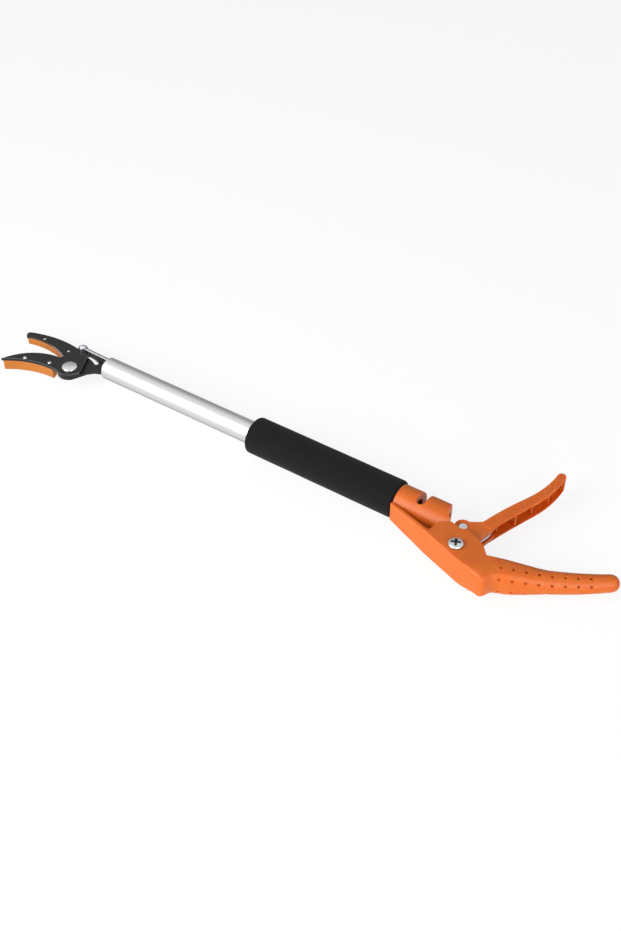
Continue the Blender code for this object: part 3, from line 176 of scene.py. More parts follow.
@dataclass(frozen=True)
class Finish:
    """A surface as its material and its making leave it.

    Attributes:
        name: The material's name.
        colour: Its sRGB colour as hex digits.
        shade: The darker sRGB colour of its mottling.
        roughness: The smoothest roughness on it.
        rougher: The roughest on it.
        depth: How deep its relief is.
        mottling: What its colour and its gloss follow.
        grain: What its relief follows, or none where that is the mottling too.
    """

    name: str
    colour: str
    shade: str
    roughness: float
    rougher: float
    depth: float
    mottling: Noise
    grain: Noise | None = None

    def build(self) -> Material:
        """Make the material.

        Returns:
            The material, mottled in colour and gloss, with its relief.
        """
        material = bpy.data.materials.new(self.name)
        material.use_nodes = True
        tree = material.node_tree
        shader = tree.nodes["Principled BSDF"]
        for socket, value in self.sockets().items():
            shader.inputs[socket].default_value = value
        place = add_node(tree, "ShaderNodeTexCoord").outputs["Object"]
        mottling, height = self.patterns(tree, place)
        mix = add_node(tree, "ShaderNodeMix", {"data_type": "RGBA"}, {0: mottling},
                       {6: linear(self.shade), 7: linear(self.colour)})
        polish = add_node(tree, "ShaderNodeMapRange", None, {"Value": mottling},
                          {"To Min": self.rougher, "To Max": self.roughness})
        bump = add_node(tree, "ShaderNodeBump", None, {"Height": height},
                        {"Strength": 1.0, "Distance": self.depth})
        tree.links.new(mix.outputs[2], shader.inputs["Base Color"])
        tree.links.new(polish.outputs["Result"], shader.inputs["Roughness"])
        tree.links.new(bump.outputs["Normal"], shader.inputs["Normal"])
        return material

    def sockets(self) -> dict[str, object]:
        """The shader's values that are the same all over, by socket."""
        raise NotImplementedError

    def patterns(self, tree: Tree, place: Socket) -> tuple[Socket, Socket]:
        """Draw the surface's patterns.

        Args:
            tree: The material's node tree.
            place: The object coordinates.

        Returns:
            The mottling and the height of the relief, both from 0 to 1.
        """
        drawn = [add_node(tree, "ShaderNodeTexNoise", None, {"Vector": place},
                          {"Scale": 1.0 / noise.size, "Detail": noise.detail,
                           "Roughness": noise.roughness}).outputs["Fac"]
                 for noise in (self.mottling, self.grain) if noise]
        return drawn[0], drawn[-1]


@dataclass(frozen=True)
class MouldedNylon(Finish):
    """Glass-filled nylon from a spark-eroded mould: satin, with a fine even grain."""

    depth: float = 0.02 * MM
    mottling: Noise = Noise(10 * MM / 0.35, 3.0, 0.55)
    # The real grain is about 0.1 mm. It is drawn coarser so that it shows at all.
    grain: Noise = Noise(0.9 * MM, 2.0, 0.6)
    ior: float = 1.53
    gloss: float = 0.35
    glow: float = 0.0
    glow_reach: float = 4.5 * MM
    glow_by_colour: Triple = (1.0, 0.16, 0.04)

    def sockets(self) -> dict[str, object]:
        """Plastic's own gloss, and how light spreads in it."""
        # Light gets a little way into the bright nylon, red furthest, so that its
        # recesses glow red.
        return {"Metallic": 0.0, "IOR": self.ior, "Specular IOR Level": self.gloss,
                "Subsurface Weight": self.glow, "Subsurface Scale": self.glow_reach,
                "Subsurface Radius": self.glow_by_colour}


@dataclass(frozen=True)
class ClosedCellFoam(Finish):
    """Closed-cell rubber foam with its moulded skin: matt, faintly pebbled by cells."""

    depth: float = 0.12 * MM
    mottling: Noise = Noise(6 * MM, 4.0, 0.65)
    # Real cells are about 0.3 mm. They are drawn coarser so that they show.
    cell: float = 1.1 * MM

    def sockets(self) -> dict[str, object]:
        """Rubber's low gloss under the faintest nap."""
        return {"Metallic": 0.0, "IOR": 1.45, "Specular IOR Level": 0.18,
                "Sheen Weight": 0.03, "Sheen Roughness": 0.6}

    def patterns(self, tree: Tree, place: Socket) -> tuple[Socket, Socket]:
        """Draw soft clouds for the colour and cells for the relief."""
        cells = add_node(tree, "ShaderNodeTexVoronoi", {"feature": "SMOOTH_F1"},
                         {"Vector": place}, {"Scale": 1.0 / self.cell})
        return super().patterns(tree, place)[0], cells.outputs["Distance"]


@dataclass(frozen=True)
class DrawnAluminium(Finish):
    """Drawn tube, satin anodised: near white, with faint lines that run along it."""

    depth: float = 0.004 * MM
    # Real lines are about 0.05 mm apart. They are drawn coarser so that they show.
    mottling: Noise = Noise(0.5 * MM, 3.0, 0.7)
    stretch: float = 60.0
    edge_tint: str = "A4A4A8"

    def sockets(self) -> dict[str, object]:
        """Bare metal under a layer that greys it at its edges."""
        # The anodised layer takes some light at a flat angle, so both edges look grey.
        return {"Metallic": 1.0, "Specular Tint": linear(self.edge_tint)}

    def patterns(self, tree: Tree, place: Socket) -> tuple[Socket, Socket]:
        """Draw the lines that the die leaves along the tube, for both."""
        along = add_node(tree, "ShaderNodeMapping", None, {"Vector": place},
                         {"Scale": (1.0 / self.stretch, 1.0, 1.0)})
        return super().patterns(tree, along.outputs["Vector"])


@dataclass(frozen=True)
class PlatedSteel(Finish):
    """Turned or drawn steel under a thin bright plating, with soft cloudy patches."""

    depth: float = 0.002 * MM
    mottling: Noise = Noise(2 * MM, 4.0, 0.6)

    def sockets(self) -> dict[str, object]:
        """Bare metal."""
        return {"Metallic": 1.0}


@dataclass(frozen=True)
class BlackenedSteel(Finish):
    """Stamped plate with a black baked coat: a soft gloss over a faint orange peel."""

    depth: float = 0.02 * MM
    mottling: Noise = Noise(9 * MM, 5.0, 0.7)
    grain: Noise = Noise(1.4 * MM, 2.0, 0.5)

    def sockets(self) -> dict[str, object]:
        """A lacquer's gloss, dulled by use."""
        return {"Metallic": 0.0, "IOR": 1.5, "Specular IOR Level": 0.35}


class Surface(Enum):
    """Every finish on the tool, named for what it is and how it was made, and two that
    paint shade and highlight.
    """

    # A satin orange that turns redder in its recesses.
    ORANGE_NYLON = MouldedNylon("moulded_nylon_orange", "D36C1B", "CA6315", 0.40, 0.52,
                                glow=0.9)
    # A duller and browner orange than the handle's, with hardly a highlight.
    ORANGE_PAD = MouldedNylon("moulded_grip_pad_orange", "B46A20", "AA621C", 0.45, 0.58)
    # Matt black, seen only inside the tube's mouth.
    BLACK_NYLON = MouldedNylon("moulded_nylon_black", "202021", "1A1A1B", 0.5, 0.62)
    # The deepest black of the tool, with no highlight at all.
    FOAM = ClosedCellFoam("closed_cell_foam_black", "111111", "0D0D0D", 0.85, 0.95)
    # A broad soft band of white between two grey edges.
    ALUMINIUM = DrawnAluminium("drawn_aluminium_anodised", "DEDEE0", "D4D4D7", 0.30,
                               0.37)
    # A cool pale grey with a soft highlight.
    ZINC = PlatedSteel("zinc_plated_steel", "D6D8DC", "C2C5C9", 0.24, 0.36)
    # Nearly white, with the sharpest highlight.
    BRIGHT = PlatedSteel("bright_turned_steel", "DEDEE0", "D2D2D5", 0.20, 0.26)
    # A mid grey that stands out from the white floor.
    ROD = PlatedSteel("drawn_steel_rod", "A6A7AA", "88898C", 0.24, 0.34)
    # A bright line in the lever's dark mouth.
    SPRING = PlatedSteel("drawn_spring_wire", "D2D2D6", "B8B8BD", 0.2, 0.3)
    # The wheel leaves a pale band along the cut.
    GROUND = PlatedSteel("ground_steel_edge", "C9CACC", "A9AAAD", 0.22, 0.34)
    # Painted shade: a dark dull grey that stands in for the shade inside the bolt's
    # cross recess.
    RECESS = PlatedSteel("zinc_with_painted_recess_shade", "5A5C60", "3C3E42", 0.4, 0.5)
    # Painted highlight: a light grey along the plates' upper edges that stands in for
    # the highlights they catch.
    RUBBED = PlatedSteel("painted_edge_highlight_grey", "8E8F92", "717275", 0.28, 0.4)
    # Black with a soft gloss, lighter than the foam.
    BLACK = BlackenedSteel("black_coated_steel_plate", "18181A", "121213", 0.30, 0.42)


# The bench: how a piece is taken up and worked


def take_up(piece: Piece) -> None:
    """Deselect all else and make one piece the one that operators work on.

    Args:
        piece: The piece.
    """
    bpy.ops.object.select_all(action="DESELECT")
    piece.select_set(True)
    bpy.context.view_layer.objects.active = piece


@contextmanager
def edit_mode(piece: Piece) -> Iterator[None]:
    """Work on a piece in edit mode and leave that mode again.

    Args:
        piece: The piece.
    """
    take_up(piece)
    bpy.ops.object.mode_set(mode="EDIT")
    yield
    bpy.ops.object.mode_set(mode="OBJECT")


def choose(piece: Piece, part: Part, test: Callable[..., bool]) -> None:
    """Select points, edges or faces of a piece in edit mode by a test on each.

    Args:
        piece: The piece, in edit mode.
        part: What is selected.
        test: Says whether a point, edge or face is wanted.
    """
    bpy.ops.mesh.select_mode(type=part.value)
    bpy.ops.mesh.select_all(action="DESELECT")
    mesh = bmesh.from_edit_mesh(piece.data)
    parts = {Part.POINTS: mesh.verts, Part.EDGES: mesh.edges, Part.FACES: mesh.faces}
    for item in parts[part]:
        item.select_set(bool(test(item)))
    bmesh.update_edit_mesh(piece.data)


def is_sharp(edge: Edge, angle: float = SHARP) -> bool:
    """Say whether an edge turns from one face to another by more than an angle."""
    return len(edge.link_faces) == 2 and edge.calc_face_angle(0.0) > angle


def work_with(piece: Piece, kind: str, **settings: object) -> None:
    """Add a modifier to a piece and apply it.

    Args:
        piece: The piece.
        kind: The modifier's type.
        settings: Its properties.
    """
    take_up(piece)
    modifier = piece.modifiers.new(kind.lower(), kind)
    for name, value in settings.items():
        setattr(modifier, name, value)
    bpy.ops.object.modifier_apply(modifier=modifier.name)


def foot(node: str) -> Vector:
    """Find the point on the floor under the middle of a node.

    Args:
        node: The CAD node.

    Returns:
        The point.
    """
    low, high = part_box(node)
    middle = (low + high) / 2
    middle.z = 0.0
    return middle


def turned(place: Vector, steps: list[Pair], sides: int) -> Piece:
    """Turn a round piece that stands on Z: a disc, extruded and resized in steps.

    Args:
        place: The point on the axis that heights are counted from.
        steps: (radius, height) of each ring from the bottom to the top.
        sides: How many sides the rings have.

    Returns:
        The piece, closed at both ends.
    """
    bpy.ops.object.select_all(action="DESELECT")
    radius, height = steps[0]
    bpy.ops.mesh.primitive_circle_add(vertices=sides, radius=radius, fill_type="NGON",
                                      location=place + Vector((0.0, 0.0, height)))
    piece = bpy.context.object
    with edit_mode(piece):
        bpy.ops.mesh.select_all(action="SELECT")
        for wider, higher in steps[1:]:
            rise = (0.0, 0.0, higher - height)
            bpy.ops.mesh.extrude_region_move(TRANSFORM_OT_translate={"value": rise})
            share = wider / radius
            bpy.ops.transform.resize(value=(share, share, 1.0),
                                     center_override=place + Vector((0.0, 0.0, higher)))
            radius, height = wider, higher
        bpy.ops.mesh.select_all(action="SELECT")
        bpy.ops.mesh.normals_make_consistent(inside=False)
    return piece


@dataclass(frozen=True)
class DomedHead:
    """A bolt or rivet: a plain shank under a domed head with a short straight rim.

    Attributes:
        radius: The head's radius.
        crown: The height of the head over its underside.
        rim: The height of the straight rim.
        shank: The shank's radius.
        sides: How many sides it has.
        rings: How many rings make the dome.
        under_edge: The underside's radius as a share of the head's.
        under_rise: The height of that chamfer as a share of the rim's.
        turn: How far round the dome the rings go.
    """

    radius: float
    crown: float
    rim: float
    shank: float
    sides: int
    rings: int = 7
    under_edge: float = 0.97
    under_rise: float = 0.15
    turn: float = 84 * DEG

    def steps(self, low: float, top: float) -> list[Pair]:
        """Give the rings of shank and head.

        Args:
            low: The height of the shank's lower end.
            top: The height of the crown.

        Returns:
            (radius, height) of each ring, bottom first.
        """
        under = top - self.crown
        steps = [(self.shank, low), (self.shank, under),
                 (self.radius * self.under_edge, under),
                 (self.radius, under + self.under_rise * self.rim),
                 (self.radius, under + self.rim)]
        for i in range(1, self.rings + 1):
            turn = i / self.rings * self.turn
            steps.append((self.radius * math.cos(turn),
                          under + self.rim + (self.crown - self.rim) * math.sin(turn)))
        return steps

    def build(self, node: str) -> Piece:
        """Turn the piece in the place of a node."""
        low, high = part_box(node)
        return turned(foot(node), self.steps(low.z, high.z), self.sides)


def refined_copy(node: str, edge: float = 0.0, segments: int = 2,
                 angle: float = SHARP) -> Piece:
    """Copy a solid as one merged mesh and round the edges that are still sharp.

    Args:
        node: The CAD node.
        edge: The width of the rounding, or 0 for none.
        segments: How many faces round an edge.
        angle: The least angle that counts as sharp.

    Returns:
        The copy, which has a mesh of its own.
    """
    piece = bpy.data.objects.new(node + "_copy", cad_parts[node].data.copy())
    bpy.context.scene.collection.objects.link(piece)
    piece.data.materials.clear()
    with edit_mode(piece):
        bpy.ops.mesh.select_all(action="SELECT")
        bpy.ops.mesh.customdata_custom_splitnormals_clear()
        bpy.ops.mesh.remove_doubles(threshold=TOUCH)
        bpy.ops.mesh.dissolve_limited(angle_limit=FLAT)
    if edge:
        work_with(piece, "BEVEL", width=edge, segments=segments, limit_method="ANGLE",
                  angle_limit=angle, harden_normals=False)
    return piece


# Sub-assemblies


@dataclass
class SubAssembly:
    """Pieces that are built together and dressed from one set of materials.

    Attributes:
        finishes: The material of each surface.
    """

    finishes: dict[Surface, Material]

    def build(self) -> None:
        """Build the pieces and finish the nodes that stay."""
        raise NotImplementedError

    def put_down(self, piece: Piece, name: str, surface: Surface, body: Body,
                 slot: Slot, node: str, shading: Shading) -> None:
        """Settle a finished piece at the origin, dress it and let it ride on its body.

        Args:
            piece: The piece.
            name: Its name.
            surface: Its main finish.
            body: The body that it moves with.
            slot: Not used.
            node: The CAD node that it replaces.
            shading: How far round its faces are shaded as one.
        """
        take_up(piece)
        piece.name = name
        piece.data.name = name
        bpy.ops.object.transform_apply(location=True, rotation=True, scale=True)
        bpy.ops.object.shade_smooth_by_angle(angle=shading.value)
        work_with(piece, "WEIGHTED_NORMAL", mode="FACE_AREA", weight=50,
                  keep_sharp=True)
        if piece.data.materials:
            piece.data.materials[0] = self.finishes[surface]
        else:
            piece.data.materials.append(self.finishes[surface])
        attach(piece, body.value)
        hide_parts(node)
        log.info("%-22s %6d faces, rides on %s", name, len(piece.data.polygons),
                 body.value)

    def keep(self, node: str, surface: Surface) -> None:
        """Keep a CAD node as it is and give it a finish.

        Args:
            node: The CAD node.
            surface: Its finish.
        """
        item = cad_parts[node]
        item.data.materials.clear()
        item.data.materials.append(self.finishes[surface])
        log.info("%-22s kept, finish %s", node, surface.value.name)


@dataclass
class Pole(SubAssembly):
    """The drawn tube and the foam sleeve on it."""

    sides: int = 96
    end_facing: float = 0.9
    grip_edge: float = 2.6 * MM
    grip_edge_angle: float = 60 * DEG
    grip_edge_steps: int = 6
    bore_margin: float = 1 * MM
    grip_rings: int = 60
    grip_ripple: float = 0.25 * MM
    grip_ripple_size: float = 28 * MM

    def build(self) -> None:
        """Build both pieces and finish the plug in the tube."""
        self.put_down(refined_copy("tube"), "drawn_tube", Surface.ALUMINIUM, Body.POLE,
                      Slot.TUBE, "tube", Shading.TURNED)
        self.grip()
        self.keep("tube_plug", Surface.BLACK_NYLON)

    def pipe(self, low: Vector, high: Vector, wall: float) -> Piece:
        """Make a hollow round bar along X that fills a box.

        Args:
            low: The box's lowest corner.
            high: Its highest corner.
            wall: The wall's thickness.

        Returns:
            The pipe, closed all round its wall.
        """
        bpy.ops.object.select_all(action="DESELECT")
        radius = (high.z - low.z) / 2
        middle = (low + high) / 2
        bpy.ops.mesh.primitive_cylinder_add(
            vertices=self.sides, radius=radius, depth=high.x - low.x,
            end_fill_type="NGON", location=middle, rotation=(0.0, math.pi / 2, 0.0))
        piece = bpy.context.object
        bpy.ops.object.transform_apply(location=True, rotation=True, scale=True)
        rim = radius - wall / 2
        with edit_mode(piece):
            choose(piece, Part.FACES, lambda face: abs(face.normal.x) > self.end_facing)
            bpy.ops.mesh.inset(thickness=wall)
            bpy.ops.mesh.delete(type="ONLY_FACE")
            choose(piece, Part.EDGES, lambda edge: edge.is_boundary and all(
                math.hypot(v.co.y - middle.y, v.co.z - middle.z) < rim
                for v in edge.verts))
            bpy.ops.mesh.bridge_edge_loops()
            bpy.ops.mesh.select_all(action="SELECT")
            bpy.ops.mesh.normals_make_consistent(inside=False)
        return piece

    def grip(self) -> None:
        """Build the foam sleeve: soft rounded ends and a skin that isn't quite even."""
        low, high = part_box("foam_grip")
        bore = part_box("tube")
        radius = (high.z - low.z) / 2
        inner = (bore[1].z - bore[0].z) / 2
        shrink = Vector((0.0, self.grip_ripple, self.grip_ripple))
        wall = radius - inner - self.grip_ripple
        piece = self.pipe(low + shrink, high - shrink, wall)

        def is_outer(edge: Edge) -> bool:
            """Say whether an edge lies outside the bore."""
            start = edge.verts[0].co
            return (math.hypot(start.y - low.y - radius, start.z - low.z - radius)
                    > inner + self.bore_margin)

        def is_long(edge: Edge) -> bool:
            """Say whether an edge runs along most of the sleeve."""
            start, end = (v.co.x for v in edge.verts)
            return abs(start - end) > 0.5 * (high.x - low.x)

        with edit_mode(piece):
            choose(piece, Part.EDGES, lambda edge: is_sharp(edge, self.grip_edge_angle)
                   and is_outer(edge))
            bpy.ops.mesh.bevel(offset=self.grip_edge, segments=self.grip_edge_steps,
                               affect="EDGES")
            choose(piece, Part.EDGES, is_long)
            bpy.ops.mesh.subdivide(number_cuts=self.grip_rings)
        cloud = bpy.data.textures.new("foam_unevenness", "CLOUDS")
        cloud.noise_scale = self.grip_ripple_size
        cloud.noise_depth = 1
        work_with(piece, "DISPLACE", texture=cloud, strength=self.grip_ripple,
                  mid_level=0.5, texture_coords="LOCAL")
        self.put_down(piece, "foam_sleeve", Surface.FOAM, Body.POLE, Slot.FOAM,
                      "foam_grip", Shading.ROUND)


@dataclass
class Handle(SubAssembly):
    """The moulded handle with the bolt that carries the lever.

    Attributes:
        edge: The rounding of its edges.
        wall_edge: The wider rounding along the flat outer wall.
        wall_out: The way that this wall faces.
        wall_match: How nearly a face of it faces that way.
        dimple_sides: How many sides a dimple's floor has.
        dimple_area: Its least and its largest area.
        dimple_reach: How far from the floor's middle a dimple goes.
        dimple_match: How far a face's middle may lie from the floor's.
        dimple_extra: How much deeper the dimples get.
        heel_low: The least x and y of the heel, where wall and grip meet.
        heel_high: The largest.
        heel_rise: The heights between which it gets a grid.
        heel_margin: How far past it the moulding is cut too.
        heel_step: The grid's step.
        heel_merge: How near its points are merged.
        heel_blends: (x, y, radius, repeats) of each smoothing.
        bolt_head: The pan head and its shank.
        cross_turn: How far the cross recess is turned.
        cross_width: The width of its slots.
        cross_reach: How far they go from the middle.
        cross_depth: How deep they go.
    """

    edge: float = 0.5 * MM
    wall_edge: float = 1.1 * MM
    wall_out: Triple = (-0.331, -0.944, 0.0)
    wall_match: float = 0.98
    dimple_sides: int = 8
    dimple_area: Pair = (5 * MM ** 2, 6 * MM ** 2)
    dimple_reach: float = 2.0 * MM
    dimple_match: float = 0.1 * MM
    dimple_extra: float = 0.9 * MM
    heel_low: Pair = (204 * MM, -82 * MM)
    heel_high: Pair = (247 * MM, -46 * MM)
    heel_rise: Pair = (3 * MM, 32 * MM)
    heel_margin: float = 1 * MM
    heel_step: float = 1.5 * MM
    heel_merge: float = 0.75 * MM
    heel_blends: tuple[tuple[float, float, float, int], ...] = (
        (219.0 * MM, -77.0 * MM, 14.5 * MM, 2),
        (222.0 * MM, -76.5 * MM, 13.0 * MM, 4),
        (225.5 * MM, -75.0 * MM, 12.5 * MM, 9),
        (230.5 * MM, -70.0 * MM, 15.5 * MM, 5),
        (230.5 * MM, -70.0 * MM, 13.0 * MM, 30),
        (236.0 * MM, -57.0 * MM, 9.5 * MM, 5),
        (236.0 * MM, -57.0 * MM, 7.5 * MM, 20))
    bolt_head: DomedHead = DomedHead(radius=6.5 * MM, crown=3.1 * MM, rim=1.0 * MM,
                                     shank=3.0 * MM, sides=48)
    cross_turn: float = 25 * DEG
    cross_width: float = 2.2 * MM
    cross_reach: float = 4.2 * MM
    cross_depth: float = 2.6 * MM

    def build(self) -> None:
        """Build the moulding and its hardware."""
        self.moulding()
        self.bolt()
        for node in ("lever_nut", "lever_bush", "socket_screw_1", "socket_screw_2"):
            self.keep(node, Surface.ZINC)

    def moulding(self) -> None:
        """Build the moulding: rounded edges, deep dimples and a heel that flows on."""
        piece = refined_copy("handle")
        dimples = self.dimples(piece)
        out = Vector(self.wall_out)

        def in_dimple(place: Vector) -> bool:
            """Say whether a place belongs to one of the dimples."""
            return any((place - centre).length < self.dimple_reach
                       for centre, _ in dimples)

        with edit_mode(piece):
            choose(piece, Part.EDGES, lambda edge: is_sharp(edge) and any(
                face.normal.dot(out) > self.wall_match for face in edge.link_faces))
            bpy.ops.mesh.bevel(offset=self.wall_edge, segments=3, affect="EDGES",
                               clamp_overlap=True)
            choose(piece, Part.EDGES, lambda edge: is_sharp(edge) and not in_dimple(
                (edge.verts[0].co + edge.verts[1].co) / 2))
            bpy.ops.mesh.bevel(offset=self.edge, segments=2, affect="EDGES",
                               clamp_overlap=True)
            for centre, normal in dimples:
                choose(piece, Part.FACES, lambda face: (
                    face.calc_center_median() - centre).length < self.dimple_match)
                bpy.ops.transform.translate(value=-self.dimple_extra * normal)
            self.heel(piece, in_dimple)
        self.put_down(piece, "handle_moulding", Surface.ORANGE_NYLON, Body.POLE,
                      Slot.ORANGE, "handle", Shading.MOULDED)

    def dimples(self, piece: Piece) -> list[tuple[Vector, Vector]]:
        """Find the floors of the grip's dimples.

        Args:
            piece: The moulding, in object mode.

        Returns:
            The centre and the normal of each.
        """
        least, most = self.dimple_area
        return [(face.center.copy(), face.normal.copy()) for face in piece.data.polygons
                if len(face.vertices) == self.dimple_sides and least < face.area < most
                and face.center.x > self.heel_low[0]]

    def heel(self, piece: Piece, kept: Callable[[Vector], bool]) -> None:
        """Draw a grid over the heel and smooth it until wall, top and grip are one.

        Args:
            piece: The moulding, in edit mode.
            kept: Says whether a place must stay as it is.
        """
        (left, front), (right, back) = self.heel_low, self.heel_high
        margin = self.heel_margin

        def is_near(face: Face) -> bool:
            """Say whether a face reaches the heel's stretch of the moulding."""
            return not kept(face.calc_center_median()) and any(
                left - margin < v.co.x < right + margin for v in face.verts)

        def is_inside(face: Face) -> bool:
            """Say whether a face lies on the heel."""
            middle = face.calc_center_median()
            return (left < middle.x < right and front < middle.y < back
                    and not kept(middle))

        def is_blended(point: Point, x: float, y: float, radius: float) -> bool:
            """Say whether a point lies in one of the smoothed rounds."""
            return (math.hypot(point.co.x - x, point.co.y - y) < radius
                    and not kept(point.co))

        for axis, value in ((0, left), (0, right), (1, front), (1, back)):
            choose(piece, Part.FACES, is_near)
            self.cut_across(axis, value)
        for axis, low, high in ((0, left, right), (1, front, back),
                                (2, *self.heel_rise)):
            count = round((high - low) / self.heel_step)
            for i in range(count):
                choose(piece, Part.FACES, is_inside)
                self.cut_across(axis, low + (i + 0.5) * (high - low) / count)
        # The cuts leave slivers, which smoothing can't move until they are merged.
        choose(piece, Part.POINTS, lambda point: any(
            is_blended(point, x, y, radius) for x, y, radius, _ in self.heel_blends))
        bpy.ops.mesh.remove_doubles(threshold=self.heel_merge)
        for x, y, radius, repeats in self.heel_blends:
            choose(piece, Part.POINTS, lambda point: is_blended(point, x, y, radius))
            bpy.ops.mesh.vertices_smooth(factor=0.5, repeat=repeats)

    @staticmethod
    def cut_across(axis: int, value: float) -> None:
        """Cut the selected faces by a plane that is square to an axis.

        Args:
            axis: The axis, 0 for X, 1 for Y and 2 for Z.
            value: Where on it the plane stands.
        """
        normal = [0.0, 0.0, 0.0]
        normal[axis] = 1.0
        bpy.ops.mesh.bisect(plane_co=[value * part for part in normal],
                            plane_no=normal, threshold=0.001 * MM)

    def bolt(self) -> None:
        """Build the pan-head bolt with its cross recess, whose walls carry painted
        shade.
        """
        piece = self.bolt_head.build("lever_bolt")
        piece.data.materials.append(self.finishes[Surface.ZINC])
        spot = foot("lever_bolt") + Vector((0.0, 0.0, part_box("lever_bolt")[1].z))
        for turn in (self.cross_turn, self.cross_turn + 90 * DEG):
            bpy.ops.object.select_all(action="DESELECT")
            bpy.ops.mesh.primitive_cube_add(size=1.0, location=spot,
                                            rotation=(0.0, 0.0, turn))
            punch = bpy.context.object
            punch.scale = (2 * self.cross_reach, self.cross_width, 2 * self.cross_depth)
            # The punches carry the painted shade, which the boolean passes to the walls
            # of the cross recess.
            punch.data.materials.append(self.finishes[Surface.RECESS])
            bpy.context.view_layer.update()
            work_with(piece, "BOOLEAN", object=punch, operation="DIFFERENCE",
                      solver="EXACT", material_mode="TRANSFER")
            bpy.data.objects.remove(punch, do_unlink=True)
        self.put_down(piece, "lever_pan_head_bolt", Surface.ZINC, Body.POLE, Slot.ZINC,
                      "lever_bolt", Shading.TURNED)


@dataclass
class Lever(SubAssembly):
    """The squeeze lever with its pin and its spring.

    Attributes:
        edge: The rounding of the moulding's edges.
        pin_chamfer: The chamfer at both ends of the pin.
        pin_crown: How far the pin's end rises over its chamfer.
        pin_sides: How many sides the pin has.
        leg_root: The point that the spring's leg is bent about.
        leg_bend: How far it is bent.
    """

    edge: float = 0.45 * MM
    pin_chamfer: float = 0.6 * MM
    pin_crown: float = 0.2 * MM
    pin_sides: int = 40
    leg_root: Triple = (201.5 * MM, -45.0 * MM, 18.0 * MM)
    leg_bend: float = 5.5 * DEG

    def build(self) -> None:
        """Build the moulding and the metal pieces in it."""
        self.put_down(refined_copy("squeeze_lever", self.edge), "lever_moulding",
                      Surface.ORANGE_NYLON, Body.LEVER, Slot.ORANGE, "squeeze_lever",
                      Shading.MOULDED)
        self.pin()
        self.spring()

    def pin(self) -> None:
        """Build the pin that pulls the rod, chamfered at both ends on the lathe."""
        low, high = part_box("lever_pin")
        radius = (high.x - low.x) / 2
        inner = radius - self.pin_chamfer
        steps = [(inner, low.z), (radius, low.z + self.pin_chamfer),
                 (radius, high.z - self.pin_chamfer), (inner, high.z - self.pin_crown),
                 (inner - self.pin_chamfer, high.z)]
        piece = turned(foot("lever_pin"), steps, self.pin_sides)
        self.put_down(piece, "lever_pin_turned", Surface.BRIGHT, Body.LEVER, Slot.ZINC,
                      "lever_pin", Shading.TURNED)

    def spring(self) -> None:
        """Build the wound spring, its leg bent out until it shows in the mouth."""
        piece = refined_copy("return_spring")
        with edit_mode(piece):
            choose(piece, Part.POINTS, lambda point: point.co.y > self.leg_root[1])
            bpy.ops.transform.rotate(value=self.leg_bend, orient_axis="Z",
                                     center_override=self.leg_root)
        self.put_down(piece, "return_spring_wire", Surface.SPRING, Body.LEVER,
                      Slot.SPRING, "return_spring", Shading.ROUND)


@dataclass
class Linkage(SubAssembly):
    """The pull rod, its crimped end and the rivet at the jaw.

    Attributes:
        rod_edge: The rounding of the rod's edges.
        rivet_head: The rivet's head and shank.
        cup_rings: How many of the dome's rings the cup takes away.
        cup_radius: The cup's radius at its lip.
        cup_lip: How far the lip stays under the crown.
        cup_depth: How deep the cup is.
        cup_taper: Its floor's radius as a share of the lip's.
    """

    rod_edge: float = 0.3 * MM
    rivet_head: DomedHead = DomedHead(radius=3.2 * MM, crown=1.6 * MM, rim=0.4 * MM,
                                      shank=1.9 * MM, sides=40)
    cup_rings: int = 3
    cup_radius: float = 1.2 * MM
    cup_lip: float = 0.05 * MM
    cup_depth: float = 1.2 * MM
    cup_taper: float = 0.85

    def build(self) -> None:
        """Build the rod and its rivet."""
        self.put_down(refined_copy("pull_rod", self.rod_edge), "pull_rod_with_eye",
                      Surface.ROD, Body.ROD, Slot.BRIGHT, "pull_rod", Shading.TURNED)
        self.keep("rod_end", Surface.ZINC)
        self.rivet()

    def rivet(self) -> None:
        """Build the rivet in the rod's eye, with the cup that its setting leaves."""
        low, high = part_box("eye_rivet")
        steps = self.rivet_head.steps(low.z, high.z)[:-self.cup_rings]
        steps += [(self.cup_radius, high.z - self.cup_lip),
                  (self.cup_radius * self.cup_taper, high.z - self.cup_depth)]
        piece = turned(foot("eye_rivet"), steps, self.rivet_head.sides)
        self.put_down(piece, "rod_eye_rivet", Surface.BRIGHT, Body.JAW, Slot.BRIGHT,
                      "eye_rivet", Shading.TURNED)


